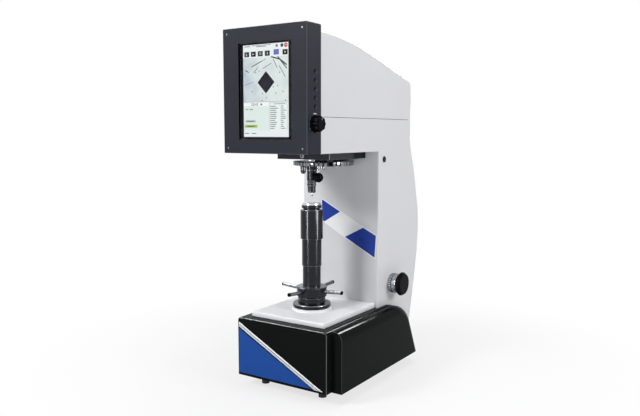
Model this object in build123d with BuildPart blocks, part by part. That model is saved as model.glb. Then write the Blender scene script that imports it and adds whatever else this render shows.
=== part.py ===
from build123d import *
from math import cos, radians, sin, tan
import os

# Bench hardness tester: a C-frame on a hollow base, an anvil on a hand-cranked elevating screw,
# an indexing turret with an indenter and two objectives, a dead-weight load train inside the
# column and a portrait touch display on the front of the arm.
#
# Millimetres, +Z up, the operator stands on the -Y side. The origin is the centre of the
# machine's footprint on the floor. Sizes are given from three datums, which at() turns into
# that frame: x from the screw axis, y from the base's front face (positive to the rear) and
# h from the underside of the base.

# --- Base and platform ---------------------------------------------------------------------
FOOT_HEIGHT = 31.5
FOOT_DIAMETER = 21.0
FOOT_PAD = 15.75
FOOT_PAD_CONE = 3.0
FOOT_NUT_DIAMETER = 17.0
FOOT_SPREAD = 183.0
FOOT_FRONT_Y = 57.0
FOOT_REAR_Y = 400.0
STUD_DIAMETER = 10.0
BASE_WIDTH = 281.0
BASE_HEIGHT = 155.5
BASE_REAR_Y = 454.5
BASE_REAR_SLOPE = 64.7
BASE_REAR_ROUND = 88.0
BASE_WALL = 5.0
BASE_SIDE_ROUND = 10.0
BASE_FRONT_ROUND = 5.0
BASE_PLATE = 8.0
BASE_PLATE_CLEARANCE = 0.3
FAIRING_REACH = 30.5
FAIRING_FRONT_Y = 21.5
FAIRING_ROUND = 24.0
FAIRING_WALL = 3.0
FAIRING_EDGE = 1.5
PLATFORM_WIDTH = 228.4
PLATFORM_FRONT_Y = 28.5
PLATFORM_THICKNESS = 12.0
PLATFORM_BEVEL = 4.0
PLATFORM_BEVEL_INSET = 2.4
PLATFORM_BOSS = 6.5
PLATFORM_BOSS_DIAMETER = 103.0
PLATFORM_BOSS_EDGE = 1.0

# --- Column, arm and upper cover -----------------------------------------------------------
COLUMN_WIDTH = 248.0
THROAT_FACE_Y = 284.6
ARM_FRONT_Y = -1.0
ARM_UNDERSIDE = 588.3
ARM_HEIGHT = 86.7
COVER_FRONT_HEIGHT = 197.5
COVER_REAR_HEIGHT = 107.0
COLUMN_SEAM_REAR_Y = 471.5
COLUMN_BULGE_Y = 533.4
COLUMN_BULGE_HEIGHT = 360.0
COLUMN_FOOT_REAR_Y = 464.0
# Points of the rear curve: shares of the swell or taper, and of the drop from the seam or bulge.
COLUMN_SWELL = ((0.05, 0.222), (0.46, 0.463), (0.84, 0.756))
COLUMN_TAPER = ((0.15, 0.284), (0.45, 0.554))
# Points of the cover's crown: shares of its length and of its fall.
COVER_CROWN = ((0.18, 0.05), (0.38, 0.20), (0.60, 0.46))
COVER_REAR_SLOPE = -0.27
COVER_REAR_SWELL = 3.5
COVER_REAR_SWELL_HEIGHT = 58.0
COLUMN_WALL = 5.0
COVER_WALL = 3.0
COLUMN_EDGE = 4.0
COVER_CORNER = 12.0
LEAD_SLOT_WIDTH = 82.0
LEAD_SLOT_HEIGHT = 40.0
LEAD_SLOT_CORNER = 6.0

# --- Elevating screw and handwheel ---------------------------------------------------------
SCREW_AXIS_Y = 143.3
SCREW_DIAMETER = 40.0
SCREW_TRAVEL_DOWN = 110.0
SCREW_END_CLEARANCE = 17.0
RUNNING_CLEARANCE = 0.05
SEAT_GAP = 0.3
BEARING_DIAMETER = 102.0
BEARING_RING = 11.5
BEARING_NECK_DIAMETER = 73.3
BEARING_NECK = 15.5
BEARING_BORE = 44.0
BEARING_GROOVE = 4.0
BEARING_EDGE = 1.5
HUB_DIAMETER = 80.7
HUB_RIM_DIAMETER = 82.8
HUB_HEIGHT = 28.0
HUB_RIM = 3.0
HUB_EDGE = 1.0
HUB_FOOT_BEVEL = 3.0
HUB_MOUTH_DIAMETER = 42.0
NUT_DIAMETER = 60.0
SPOKE_COUNT = 4
SPOKE_DIAMETER = 9.5
SPOKE_REACH = 98.8
SPOKE_ROOT = 32.0
SPOKE_TILT = 4.0
SPOKE_FIRST_ANGLE = -2.5
SPOKE_BELOW_RIM = 3.5
SPOKE_EDGE = 0.8
SLEEVE_LOWER_DIAMETER = 48.3
SLEEVE_MIDDLE_DIAMETER = 52.5
SLEEVE_UPPER_DIAMETER = 60.0
# What shows of the lower and the middle sleeve, as shares of the rise from hub to collar.
SLEEVE_LOWER_SHARE = 0.284
SLEEVE_MIDDLE_SHARE = 0.364
SLEEVE_OVERLAP = 12.0
SLEEVE_GAP = 0.35
SLEEVE_LID = 2.5
SLEEVE_BEAD = 0.6
SLEEVE_LOWER_BORE = 44.0
COLLAR_RING_DIAMETER = 52.0
COLLAR_RING = 4.0
COLLAR_DIAMETER = 55.7
COLLAR_HEIGHT = 10.5
COLLAR_EDGE = 1.2
ANVIL_DIAMETER = 47.8
ANVIL_HEIGHT = 10.8
ANVIL_STEM_DIAMETER = 16.0
ANVIL_STEM = 28.0
ANVIL_STEM_RELIEF = 2.0
ANVIL_FOOT_BEVEL = 3.5
ANVIL_EDGE = 1.0
GUIDE_DIAMETER = 62.0
GUIDE_FLANGE_DIAMETER = 87.0
GUIDE_FLANGE = 12.0
GUIDE_LENGTH = 80.0

# --- Turret --------------------------------------------------------------------------------
TURRET_AXIS_Y = 200.5
TURRET_DIAMETER = 164.0
TURRET_DISC = 12.0
TURRET_STATIONS = 5
TURRET_PLATE_WIDTH = 165.0
TURRET_PLATE_FRONT_Y = 102.6
TURRET_PLATE = 18.8
TURRET_GAP = 6.0
TURRET_EDGE = 1.0
PIVOT_DIAMETER = 24.0
PIVOT_CAP_DIAMETER = 40.0
PIVOT_CAP = 4.0
WASHER_DIAMETER = 52.0
PLATE_SCREW_DIAMETER = 13.0
PLATE_SCREW_HEAD = 4.0
PLATE_SCREW_SOCKET = 3.6
PLATE_SCREW_SOCKET_DEPTH = 2.8
PLATE_SCREW_EDGE = 0.8
SPINDLE_HOUSING_DIAMETER = 25.0
SPINDLE_HOUSING = 45.0
HOUSING_WALL = 3.0
HOUSING_NECK = 4.8
HOUSING_NOSE = 5.0
HOUSING_STEP = 1.2
HOUSING_COLLAR = 12.0
HOUSING_COLLAR_STEP = 1.5
SPINDLE_DIAMETER = 14.0
SPINDLE_HEAD_DIAMETER = 20.0
SPINDLE_HEAD = 3.0
SPINDLE_PROUD = 1.3
SPINDLE_SOCKET_DIAMETER = 7.0
SPINDLE_SOCKET = 8.0
SPINDLE_SEAT = 7.2
SPINDLE_SEAT_CLEARANCE = 2.0
NOSE_GAP = 0.5
NOSE_TOP_DIAMETER = 23.8
NOSE_END_DIAMETER = 20.4
NOSE_LENGTH = 25.7
NOSE_GRIP = 12.0
NOSE_RIM = 6.0
NOSE_STEP = 1.2
NOSE_EDGE = 1.0
INDENTER_DIAMETER = 10.0
INDENTER_REACH = 12.0
TEST_SPACE = 14.8
DIAMOND_LENGTH = 2.2
DIAMOND_DIAMETER = 3.0
DIAMOND_HOLDER = 2.0
DIAMOND_HOLDER_DIAMETER = 6.0
INDENTER_SHANK = 4.2
LONG_OBJECTIVE_DIAMETER = 17.0
LONG_OBJECTIVE = 24.5
SHORT_OBJECTIVE_DIAMETER = 16.0
SHORT_OBJECTIVE = 14.0
OBJECTIVE_SHANK_DIAMETER = 14.0
# The end of the knurl, the groove's end and the front ring's end, as shares of an objective's length.
OBJECTIVE_STEPS = (0.55, 0.60, 0.82)
OBJECTIVE_STEP = 1.0
HANDLE_BALL_DIAMETER = 26.0
HANDLE_STEM_DIAMETER = 8.0
HANDLE_RADIUS = 70.0
HANDLE_ANGLE = -68.0
HANDLE_DROP = 29.5
PLUNGER_ANGLE = -45.6
PLUNGER_DIAMETER = 6.0
PLUNGER_BALL_DIAMETER = 11.0
PLUNGER_BALL_RADIUS = 101.0
PLUNGER_BLOCK = 10.0
PLUNGER_BLOCK_WIDTH = 13.2
PLUNGER_BLOCK_GAP = 3.0
PLUNGER_TIP_GAP = 0.5
PLUNGER_TIP_BEVEL = 1.2
DETENT_OFFSET = 1.8

# --- Load train ----------------------------------------------------------------------------
LEVER_PIVOT_Y = 112.0
LEVER_PIVOT_RISE = 54.7
LEVER_END_Y = 430.0
LEVER_WIDTH = 30.0
LEVER_DEPTH = 28.0
LEVER_END_DEPTH = 18.0
LEVER_EYE_DIAMETER = 50.0
LEVER_BORE = 28.0
LEVER_NOSE = 14.0
LEVER_TAPER_START = 40.0
LEVER_TAIL = 12.0
PIN_DIAMETER = 12.0
CHEEK_THICKNESS = 8.0
CHEEK_GAP = 2.0
CHEEK_TOP = 12.0
# The front and rear of a cheek from the pivot, at its foot and at its top.
CHEEK_FOOT = (-20.0, 11.0)
CHEEK_HEAD = (-10.0, 8.0)
GUIDE_BOSS = 16.0
GUIDE_BOSS_WALL = 2.0
PUSH_ROD_DIAMETER = 22.0
PUSH_ROD_BORE = 12.0
PUSH_ROD_FLANGE_DIAMETER = 34.0
PUSH_ROD_FLANGE = 5.0
PUSH_ROD_GAP = 0.6
HANGER_BAR_DIAMETER = 8.0
HANGER_BAR_RISE = 0.7
HANGER_SIDE = 4.0
HANGER_SIDE_GAP = 3.0
HANGER_SIDE_WIDTH = 16.0
HANGER_SIDE_TOP = 8.0
HANGER_DROP = 12.0
HANGER_YOKE = 6.0
HANGER_DISC_DIAMETER = 38.4
HANGER_DISC = 8.0
HANGER_ROD_DIAMETER = 12.0
HANGER_ROD_END = 70.0
WEIGHT_DIAMETER = 104.0
WEIGHT_HEIGHTS = (12.0, 20.0, 28.0, 40.0)
WEIGHT_STACK_BASE = 262.0
ACTUATOR_HEIGHT = 120.0
ACTUATOR_FOOT = (105.0, 84.0, 14.0)
ACTUATOR_FOOT_Y = 406.0
ACTUATOR_FOOT_CORNER = 8.0
ACTUATOR_GUIDE_DIAMETER = 33.6
ACTUATOR_GUIDE_FLOOR = 20.0
MOTOR_DIAMETER = 53.2
MOTOR_HEIGHT = 96.0
MOTOR_Y = 386.0

# --- Load selector on the right wall -------------------------------------------------------
SELECTOR_Y = 363.5
SELECTOR_HEIGHT = 213.5
INDEX_RING_DIAMETER = 53.0
INDEX_RING = 12.5
DIAL_DIAMETER = 53.0
DIAL_LENGTH = 13.0
KNOB_BACK_DIAMETER = 55.0
KNOB_DIAMETER = 66.0
KNOB_FACE_DIAMETER = 56.0
KNOB_FLARE = 8.5
KNOB_LENGTH = 17.0
KNOB_BAND = 2.0
KNOB_EDGE = 1.0
KNOB_SOCKET = 12.0
KNOB_FLUTES = 12
KNOB_FLUTE_DIAMETER = 12.0
KNOB_FLUTE_OFFSET = 4.5
DIAL_EDGE = 0.8
SELECTOR_SHAFT_DIAMETER = 14.0
SELECTOR_SHAFT_LENGTH = 118.0
BUSHING_DIAMETER = 28.0
BUSHING_LENGTH = 60.0
CAM_DIAMETER = 40.0
CAM_LOBE_DIAMETER = 16.0
CAM_LOBES = 3
CAM_THICKNESS = 8.0

# --- Display head --------------------------------------------------------------------------
HEAD_OVERHANG = 1.1
HEAD_FRONT_Y = -59.3
HEAD_DROP = 0.1
HEAD_HEIGHT = 301.3
BEZEL_THICKNESS = 10.0
HEAD_WALL = 3.0
HEAD_EDGE = 3.0
WINDOW_SIZE = (152.5, 228.5)
WINDOW_CENTRE = (5.25, 148.55)
BEZEL_EDGE = 1.0
GLASS_RECESS = 1.5
GLASS_THICKNESS = 1.5
DISPLAY_SIZE = (133.6, 218.0)
DISPLAY_CENTRE = (6.2, 149.3)
LCD_MARGIN = 3.0
LCD_THICKNESS = 6.0
BEZEL_SCREW_DIAMETER = 5.0
BEZEL_SCREW_INSET = 13.0
BEZEL_SCREW_SINK = 2.0
BEZEL_SCREW_HEAD = 1.8
BOARD_SIZE = (150.0, 166.0)
BOARD_RISE = 186.8
BOARD_THICKNESS = 1.6
BOARD_STANDOFF = 8.0
STANDOFF_DIAMETER = 6.0
STANDOFF_INSET = 6.0
CHIP_SIZE = 24.0
CHIP_HEIGHT = 4.0
CHIP_SPACING = (50.0, 60.0)
BUTTON_DIAMETER = 7.0
BUTTON_COUNT = 5
BUTTON_TOP_RISE = 192.0
BUTTON_PITCH = 20.4
BUTTON_Y = -24.7
BUTTON_PROUD = 1.5
BUTTON_LENGTH = 8.0
BUTTON_EDGE = 0.6
BUTTON_FLANGE_DIAMETER = 10.0
BUTTON_FLANGE = 1.5
BRIGHTNESS_DIAMETER = 29.0
BRIGHTNESS_LENGTH = 20.0
BRIGHTNESS_TAPER = 3.0
BRIGHTNESS_EDGE = 1.5
BRIGHTNESS_SHAFT_DIAMETER = 7.25
BRIGHTNESS_SHAFT = 8.0
BRIGHTNESS_RISE = 70.8
BRIGHTNESS_Y = -27.0

# --- Optics, electrics and small parts -----------------------------------------------------
TUBE_DIAMETER = 38.0
TUBE_BORE = 26.0
TUBE_RISE = 93.0
BRIDGE_LEG = 6.0
BRIDGE_WIDTH = 88.0
BRIDGE_DEPTH = 40.0
BRIDGE_RISE = 12.0
CAMERA_SIZE = 50.0
CAMERA_EDGE = 4.0
CAMERA_HEIGHT = 58.0
PLUG_DIAMETER = 17.0
PLUG_CAP = 2.2
PLUG_EDGE = 1.5
PLUG_HOLE_DIAMETER = 12.0
PLUG_Y = 314.3
PLUG_DROP = 22.3
INLET_WIDTH = 30.0
INLET_HEIGHT = 60.0
INLET_Y = 215.0
INLET_CENTRE_HEIGHT = 70.0
INLET_DEPTH = 28.0
INLET_CORNER = 2.0
SOCKET_SIZE = (24.0, 20.0)
SOCKET_CORNER = 3.0
SOCKET_DEPTH = 15.0
SOCKET_BELOW = 12.0
BLADE_SIZE = (2.0, 6.0, 9.0)
BLADE_PITCH = 6.0
BLADE_EARTH_RISE = 2.0
ROCKER_WIDTH = 22.0
ROCKER_HEIGHT = 16.0
ROCKER_ABOVE = 19.0
ROCKER_PIVOT_DEPTH = 8.0
ROCKER_FACE = 6.2
ROCKER_DISH = 0.6
ROCKER_BACK = 3.0
ROCKER_BACK_HEIGHT = 8.0
ROCKER_TILT = 10.0
ROCKER_WELL_GAP = (0.5, 2.0)
# The diameter of the rocker's two trunnions and how far each stands out of its side.
TRUNNION = (3.0, 2.0)
SUPPLY_SIZE = (76.0, 110.0, 48.0)
SUPPLY_CENTRE = (-88.0, 110.0)

# --- Worked-out places ---------------------------------------------------------------------
CENTRE_X = -FAIRING_REACH / 2
FRONT_Y = -(COLUMN_BULGE_Y + HEAD_FRONT_Y) / 2
PLATFORM_TOP = BASE_HEIGHT + PLATFORM_THICKNESS
BEARING_FOOT = PLATFORM_TOP + PLATFORM_BOSS
BEARING_SHOULDER = BEARING_FOOT + BEARING_RING
BEARING_TOP = BEARING_SHOULDER + BEARING_NECK
HUB_FOOT = BEARING_TOP + SEAT_GAP
HUB_TOP = HUB_FOOT + HUB_HEIGHT
TURRET_PLATE_FACE = ARM_UNDERSIDE - TURRET_PLATE
DISC_TOP = TURRET_PLATE_FACE - TURRET_GAP
DISC_FACE = DISC_TOP - TURRET_DISC
SPINDLE_HOUSING_FACE = DISC_FACE - SPINDLE_HOUSING
STATION_RADIUS = TURRET_AXIS_Y - SCREW_AXIS_Y
STATION_PITCH = 360 / TURRET_STATIONS
LONG_OBJECTIVE_ANGLE = -90.0 - STATION_PITCH
SHORT_OBJECTIVE_ANGLE = -90.0 - 2 * STATION_PITCH
NOSE_TOP = SPINDLE_HOUSING_FACE - NOSE_GAP
NOSE_FACE = NOSE_TOP - NOSE_LENGTH
INDENTER_TIP = NOSE_FACE - INDENTER_REACH
ANVIL_FACE = INDENTER_TIP - TEST_SPACE
COLLAR_TOP = ANVIL_FACE - ANVIL_HEIGHT
COLLAR_FOOT = COLLAR_TOP - COLLAR_HEIGHT
COLLAR_RING_FOOT = COLLAR_FOOT - COLLAR_RING
SLEEVE_RISE = COLLAR_RING_FOOT - HUB_TOP
SLEEVE_MIDDLE_FOOT = HUB_TOP + SLEEVE_LOWER_SHARE * SLEEVE_RISE
SLEEVE_UPPER_FOOT = SLEEVE_MIDDLE_FOOT + SLEEVE_MIDDLE_SHARE * SLEEVE_RISE
SCREW_END = BASE_PLATE + SCREW_TRAVEL_DOWN + SCREW_END_CLEARANCE
COVER_SEAM = ARM_UNDERSIDE + ARM_HEIGHT
ARM_FLOOR = ARM_UNDERSIDE + COLUMN_WALL
LEVER_PIVOT_HEIGHT = ARM_FLOOR + LEVER_PIVOT_RISE
PLUG_HEIGHT = ARM_UNDERSIDE - PLUG_DROP
WALL_FACE_X = COLUMN_WIDTH / 2
BASE_SIDE_X = BASE_WIDTH / 2
HEAD_WIDTH = COLUMN_WIDTH + 2 * HEAD_OVERHANG
HEAD_SIDE_X = HEAD_WIDTH / 2
HEAD_BOTTOM = ARM_UNDERSIDE - HEAD_DROP
BEZEL_BACK_Y = HEAD_FRONT_Y + BEZEL_THICKNESS
NUT_BORE = SCREW_DIAMETER + 2 * RUNNING_CLEARANCE


def at(x, y, h):
    """A point from the screw axis, the base's front face and its underside."""
    return (CENTRE_X + x, FRONT_Y + y, FOOT_HEIGHT + h)


def level(h, x=0.0, y=0.0):
    """A horizontal plane at height h, facing up."""
    return Plane(origin=at(x, y, h))


def side(x):
    """An upright plane across the machine at x, facing right, with (y, h) coordinates."""
    return Plane(origin=at(x, 0, 0), x_dir=(0, 1, 0), z_dir=(1, 0, 0))


def facing_front(y):
    """An upright plane at depth y, facing the operator, with (x, h) coordinates."""
    return Plane(origin=at(0, y, 0), x_dir=(1, 0, 0), z_dir=(0, -1, 0))


def turned_about(y, x=0.0):
    """The plane and the axis for a body turned about a vertical line, with (r, h) coordinates."""
    plane = Plane(origin=at(x, y, 0), x_dir=(1, 0, 0), z_dir=(0, -1, 0))
    return plane, Axis(at(x, y, 0), (0, 0, 1))


def save(part, label):
    """Label a finished piece and write its file."""
    part.label = label
    export_step(part, f"parts/{label}.step")


def tube(h_low, h_high, outer, inner, y=SCREW_AXIS_Y):
    """Add an upright tube to the open part."""
    with BuildSketch(level(h_low, 0, y)) as ring:
        Circle(outer / 2)
        if inner:
            Circle(inner / 2, mode=Mode.SUBTRACT)
    extrude(ring.sketch, amount=h_high - h_low)


os.makedirs("parts", exist_ok=True)


# ======================================= base =============================================
def base_outline(x, front_y):
    """The side view of the base at x, with its rounded and sloping rear."""
    rear_top = BASE_REAR_Y - BASE_HEIGHT / tan(radians(BASE_REAR_SLOPE))
    with BuildSketch(side(x)) as outline:
        with BuildLine():
            Polyline(
                (front_y, 0),
                (front_y, BASE_HEIGHT),
                (rear_top, BASE_HEIGHT),
                (BASE_REAR_Y, 0),
                close=True,
            )
        make_face()
        fillet(vertices().group_by(Axis.Y)[-1].sort_by(Axis.X)[-1], BASE_REAR_ROUND)
    return outline.sketch


with BuildPart() as base_housing:
    extrude(base_outline(-BASE_SIDE_X, 0), amount=BASE_WIDTH)
    left_face, right_face = base_housing.faces().sort_by(Axis.X)[0], base_housing.faces().sort_by(Axis.X)[-1]
    side_edges = left_face.edges() + right_face.edges()
    fillet(side_edges.filter_by(Axis.Y).group_by(Axis.Z)[-1], BASE_SIDE_ROUND)
    fillet(base_housing.faces().sort_by(Axis.Y)[0].edges().group_by(Axis.Z)[-1], BASE_FRONT_ROUND)
    with BuildSketch(level(0)):
        cavity_depth = THROAT_FACE_Y - SEAT_GAP - BASE_WALL
        with Locations((0, BASE_WALL + cavity_depth / 2)):
            Rectangle(BASE_WIDTH - 2 * BASE_WALL, cavity_depth)
    extrude(amount=BASE_HEIGHT - BASE_WALL, mode=Mode.SUBTRACT)
    with BuildSketch(level(0)):
        pocket_depth = BASE_REAR_Y - THROAT_FACE_Y + 2 * SEAT_GAP
        with Locations((0, THROAT_FACE_Y - SEAT_GAP + pocket_depth / 2)):
            Rectangle(COLUMN_WIDTH + 2 * SEAT_GAP, pocket_depth)
    extrude(amount=BASE_HEIGHT, mode=Mode.SUBTRACT)
    with BuildSketch(level(BASE_HEIGHT, 0, SCREW_AXIS_Y)):
        Circle(GUIDE_DIAMETER / 2 + SEAT_GAP)
    extrude(amount=-BASE_WALL, mode=Mode.SUBTRACT)
    with BuildSketch(side(-BASE_SIDE_X)):
        with Locations((INLET_Y, INLET_CENTRE_HEIGHT)):
            RectangleRounded(INLET_WIDTH, INLET_HEIGHT, INLET_CORNER)
    extrude(amount=BASE_WALL, mode=Mode.SUBTRACT)
save(base_housing.part, "base_housing")

with BuildPart() as side_fairing:
    extrude(base_outline(BASE_SIDE_X, FAIRING_FRONT_Y), amount=FAIRING_REACH)
    outer_face = side_fairing.faces().sort_by(Axis.X)[-1]
    rim = outer_face.edges() - outer_face.edges().group_by(Axis.Z)[0] - outer_face.edges().group_by(Axis.Y)[0]
    fillet(rim, FAIRING_ROUND)
    front_edges = side_fairing.faces().sort_by(Axis.Y)[0].edges().filter_by(Axis.Z)
    fillet(front_edges.sort_by(Axis.X)[-1], FAIRING_EDGE)
    with BuildSketch(level(0)):
        inner_width = FAIRING_REACH - 2 * FAIRING_WALL
        inner_depth = BASE_REAR_Y - FAIRING_FRONT_Y - BASE_REAR_ROUND - 2 * FAIRING_WALL
        with Locations((BASE_SIDE_X + FAIRING_REACH / 2, FAIRING_FRONT_Y + FAIRING_WALL + inner_depth / 2)):
            Rectangle(inner_width, inner_depth)
    extrude(amount=BASE_HEIGHT - FAIRING_ROUND, mode=Mode.SUBTRACT)
save(side_fairing.part, "side_fairing")

foot_places = [(x, y) for x in (-FOOT_SPREAD / 2, FOOT_SPREAD / 2) for y in (FOOT_FRONT_Y, FOOT_REAR_Y)]

with BuildPart() as base_plate:
    # The front part lies inside the housing and the rear part carries the column.
    front_edge = BASE_WALL + BASE_PLATE_CLEARANCE
    rear_edge = THROAT_FACE_Y - 2 * BASE_PLATE_CLEARANCE
    with BuildSketch(level(0)):
        with Locations((0, (front_edge + rear_edge) / 2)):
            Rectangle(BASE_WIDTH - 2 * front_edge, rear_edge - front_edge)
        with Locations((0, (rear_edge + COLUMN_FOOT_REAR_Y) / 2)):
            Rectangle(COLUMN_WIDTH, COLUMN_FOOT_REAR_Y - rear_edge)
        with Locations(*foot_places):
            Circle(STUD_DIAMETER / 2 + BASE_PLATE_CLEARANCE / 2, mode=Mode.SUBTRACT)
    extrude(amount=BASE_PLATE)
save(base_plate.part, "base_plate")

with BuildPart() as levelling_feet:
    for foot_x, foot_y in foot_places:
        foot_plane = Plane(origin=at(foot_x, foot_y, -FOOT_HEIGHT), x_dir=(1, 0, 0), z_dir=(0, -1, 0))
        with BuildSketch(foot_plane):
            with BuildLine():
                Polyline(
                    (0, 0),
                    (FOOT_DIAMETER / 2, 0),
                    (FOOT_DIAMETER / 2, FOOT_PAD),
                    (FOOT_NUT_DIAMETER / 2, FOOT_PAD + FOOT_PAD_CONE),
                    (FOOT_NUT_DIAMETER / 2, FOOT_HEIGHT),
                    (STUD_DIAMETER / 2, FOOT_HEIGHT),
                    (STUD_DIAMETER / 2, FOOT_HEIGHT + BASE_PLATE),
                    (0, FOOT_HEIGHT + BASE_PLATE),
                    close=True,
                )
            make_face()
        revolve(axis=Axis(at(foot_x, foot_y, 0), (0, 0, 1)))
save(levelling_feet.part, "levelling_feet")

with BuildPart() as platform_plate:
    platform_depth = THROAT_FACE_Y - SEAT_GAP - PLATFORM_FRONT_Y
    with BuildSketch(level(BASE_HEIGHT)):
        with Locations((0, PLATFORM_FRONT_Y + platform_depth / 2)):
            Rectangle(PLATFORM_WIDTH, platform_depth)
    extrude(amount=PLATFORM_THICKNESS)
    top_edges = platform_plate.faces().sort_by(Axis.Z)[-1].edges().sort_by(Axis.Y)[:-1]
    chamfer(top_edges, PLATFORM_BEVEL, PLATFORM_BEVEL_INSET)
    tube(PLATFORM_TOP, BEARING_FOOT, PLATFORM_BOSS_DIAMETER, None)
    chamfer(platform_plate.faces().sort_by(Axis.Z)[-1].edges(), PLATFORM_BOSS_EDGE)
    with Locations(level(BEARING_FOOT, 0, SCREW_AXIS_Y)):
        Hole(GUIDE_DIAMETER / 2 + SEAT_GAP)
save(platform_plate.part, "platform_plate")


# ============================= screw bearing, handwheel, screw ============================
with BuildPart() as screw_bearing:
    plane, axis = turned_about(SCREW_AXIS_Y)
    bore = BEARING_BORE / 2
    ring = BEARING_DIAMETER / 2
    neck = BEARING_NECK_DIAMETER / 2
    with BuildSketch(plane):
        with BuildLine():
            Polyline(
                (bore, BEARING_FOOT),
                (ring - BEARING_EDGE, BEARING_FOOT),
                (ring, BEARING_FOOT + 2 * BEARING_EDGE),
                (ring, BEARING_SHOULDER - BEARING_EDGE),
                (ring - BEARING_EDGE, BEARING_SHOULDER),
                (neck + BEARING_GROOVE, BEARING_SHOULDER),
                (neck, BEARING_SHOULDER - BEARING_GROOVE / 2),
                (neck, BEARING_TOP),
                (bore, BEARING_TOP),
                close=True,
            )
        make_face()
    revolve(axis=axis)
save(screw_bearing.part, "screw_bearing")

with BuildPart() as screw_guide:
    # The flange bears on the underside of the housing's top wall.
    flange_top = BASE_HEIGHT - BASE_WALL
    tube(flange_top - GUIDE_LENGTH, BEARING_FOOT, GUIDE_DIAMETER, NUT_BORE)
    tube(flange_top - GUIDE_FLANGE, flange_top, GUIDE_FLANGE_DIAMETER, NUT_BORE)
save(screw_guide.part, "screw_guide")

spoke_angles = [SPOKE_FIRST_ANGLE + 360 / SPOKE_COUNT * number for number in range(SPOKE_COUNT)]
spoke_root_height = HUB_TOP - HUB_RIM - SPOKE_BELOW_RIM - SPOKE_DIAMETER / 2


def spoke_plane(angle):
    """The plane across a spoke's inner end, facing along the spoke."""
    lean = radians(SPOKE_TILT)
    turn = radians(angle)
    root = at(SPOKE_ROOT * cos(turn), SCREW_AXIS_Y + SPOKE_ROOT * sin(turn), spoke_root_height)
    return Plane(origin=root, z_dir=(cos(turn) * cos(lean), sin(turn) * cos(lean), sin(lean)))


with BuildPart() as handwheel_hub:
    plane, axis = turned_about(SCREW_AXIS_Y)
    with BuildSketch(plane):
        with BuildLine():
            Polyline(
                (NUT_DIAMETER / 2, HUB_FOOT),
                (HUB_DIAMETER / 2 - HUB_FOOT_BEVEL, HUB_FOOT),
                (HUB_DIAMETER / 2, HUB_FOOT + HUB_FOOT_BEVEL),
                (HUB_DIAMETER / 2, HUB_TOP - HUB_RIM),
                (HUB_RIM_DIAMETER / 2, HUB_TOP - HUB_RIM),
                (HUB_RIM_DIAMETER / 2, HUB_TOP - HUB_EDGE),
                (HUB_RIM_DIAMETER / 2 - HUB_EDGE, HUB_TOP),
                (HUB_MOUTH_DIAMETER / 2, HUB_TOP),
                (HUB_MOUTH_DIAMETER / 2, HUB_TOP - HUB_RIM),
                (NUT_DIAMETER / 2, HUB_TOP - HUB_RIM),
                close=True,
            )
        make_face()
    revolve(axis=axis)
    for angle in spoke_angles:
        with BuildSketch(spoke_plane(angle)):
            Circle(SPOKE_DIAMETER / 2)
        extrude(amount=HUB_DIAMETER / 2, mode=Mode.SUBTRACT)
save(handwheel_hub.part, "handwheel_hub")

with BuildPart() as lift_nut:
    tube(HUB_FOOT, HUB_TOP - HUB_RIM, NUT_DIAMETER, NUT_BORE)
save(lift_nut.part, "lift_nut")

with BuildPart() as handwheel_spokes:
    for angle in spoke_angles:
        with BuildSketch(spoke_plane(angle)):
            Circle(SPOKE_DIAMETER / 2)
        extrude(amount=SPOKE_REACH - SPOKE_ROOT)
    chamfer(handwheel_spokes.edges().filter_by(GeomType.CIRCLE), SPOKE_EDGE)
save(handwheel_spokes.part, "handwheel_spokes")


def dust_sleeve(foot, length, outer, inner):
    """Add a thin sleeve with its outer edges broken."""
    plane, axis = turned_about(SCREW_AXIS_Y)
    with BuildSketch(plane) as wall:
        with BuildLine():
            Polyline(
                (inner / 2, foot),
                (outer / 2 - SLEEVE_BEAD, foot),
                (outer / 2, foot + SLEEVE_BEAD),
                (outer / 2, foot + length - SLEEVE_BEAD),
                (outer / 2 - SLEEVE_BEAD, foot + length),
                (inner / 2, foot + length),
                close=True,
            )
        make_face()
    revolve(wall.sketch, axis=axis)


with BuildPart() as dust_sleeve_lower:
    lower_length = SLEEVE_MIDDLE_FOOT - HUB_TOP + SLEEVE_OVERLAP
    dust_sleeve(HUB_TOP, lower_length, SLEEVE_LOWER_DIAMETER, SLEEVE_LOWER_BORE)
save(dust_sleeve_lower.part, "dust_sleeve_lower")

with BuildPart() as dust_sleeve_middle:
    middle_length = SLEEVE_UPPER_FOOT - SLEEVE_MIDDLE_FOOT + SLEEVE_OVERLAP
    middle_bore = SLEEVE_LOWER_DIAMETER + 2 * SLEEVE_GAP
    dust_sleeve(SLEEVE_MIDDLE_FOOT, middle_length, SLEEVE_MIDDLE_DIAMETER, middle_bore)
save(dust_sleeve_middle.part, "dust_sleeve_middle")

with BuildPart() as dust_sleeve_upper:
    upper_bore = SLEEVE_MIDDLE_DIAMETER + 2 * SLEEVE_GAP
    upper_length = COLLAR_RING_FOOT - SLEEVE_UPPER_FOOT
    dust_sleeve(SLEEVE_UPPER_FOOT, upper_length, SLEEVE_UPPER_DIAMETER, upper_bore)
    lid_diameter = (upper_bore + SLEEVE_UPPER_DIAMETER) / 2
    tube(COLLAR_RING_FOOT - SLEEVE_LID, COLLAR_RING_FOOT, lid_diameter, SCREW_DIAMETER)
save(dust_sleeve_upper.part, "dust_sleeve_upper")

with BuildPart() as elevating_screw:
    tube(SCREW_END, COLLAR_TOP, SCREW_DIAMETER, None)
    with Locations(level(COLLAR_TOP, 0, SCREW_AXIS_Y)):
        Hole(ANVIL_STEM_DIAMETER / 2 + RUNNING_CLEARANCE, depth=ANVIL_STEM + ANVIL_STEM_RELIEF)
save(elevating_screw.part, "elevating_screw")

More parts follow.
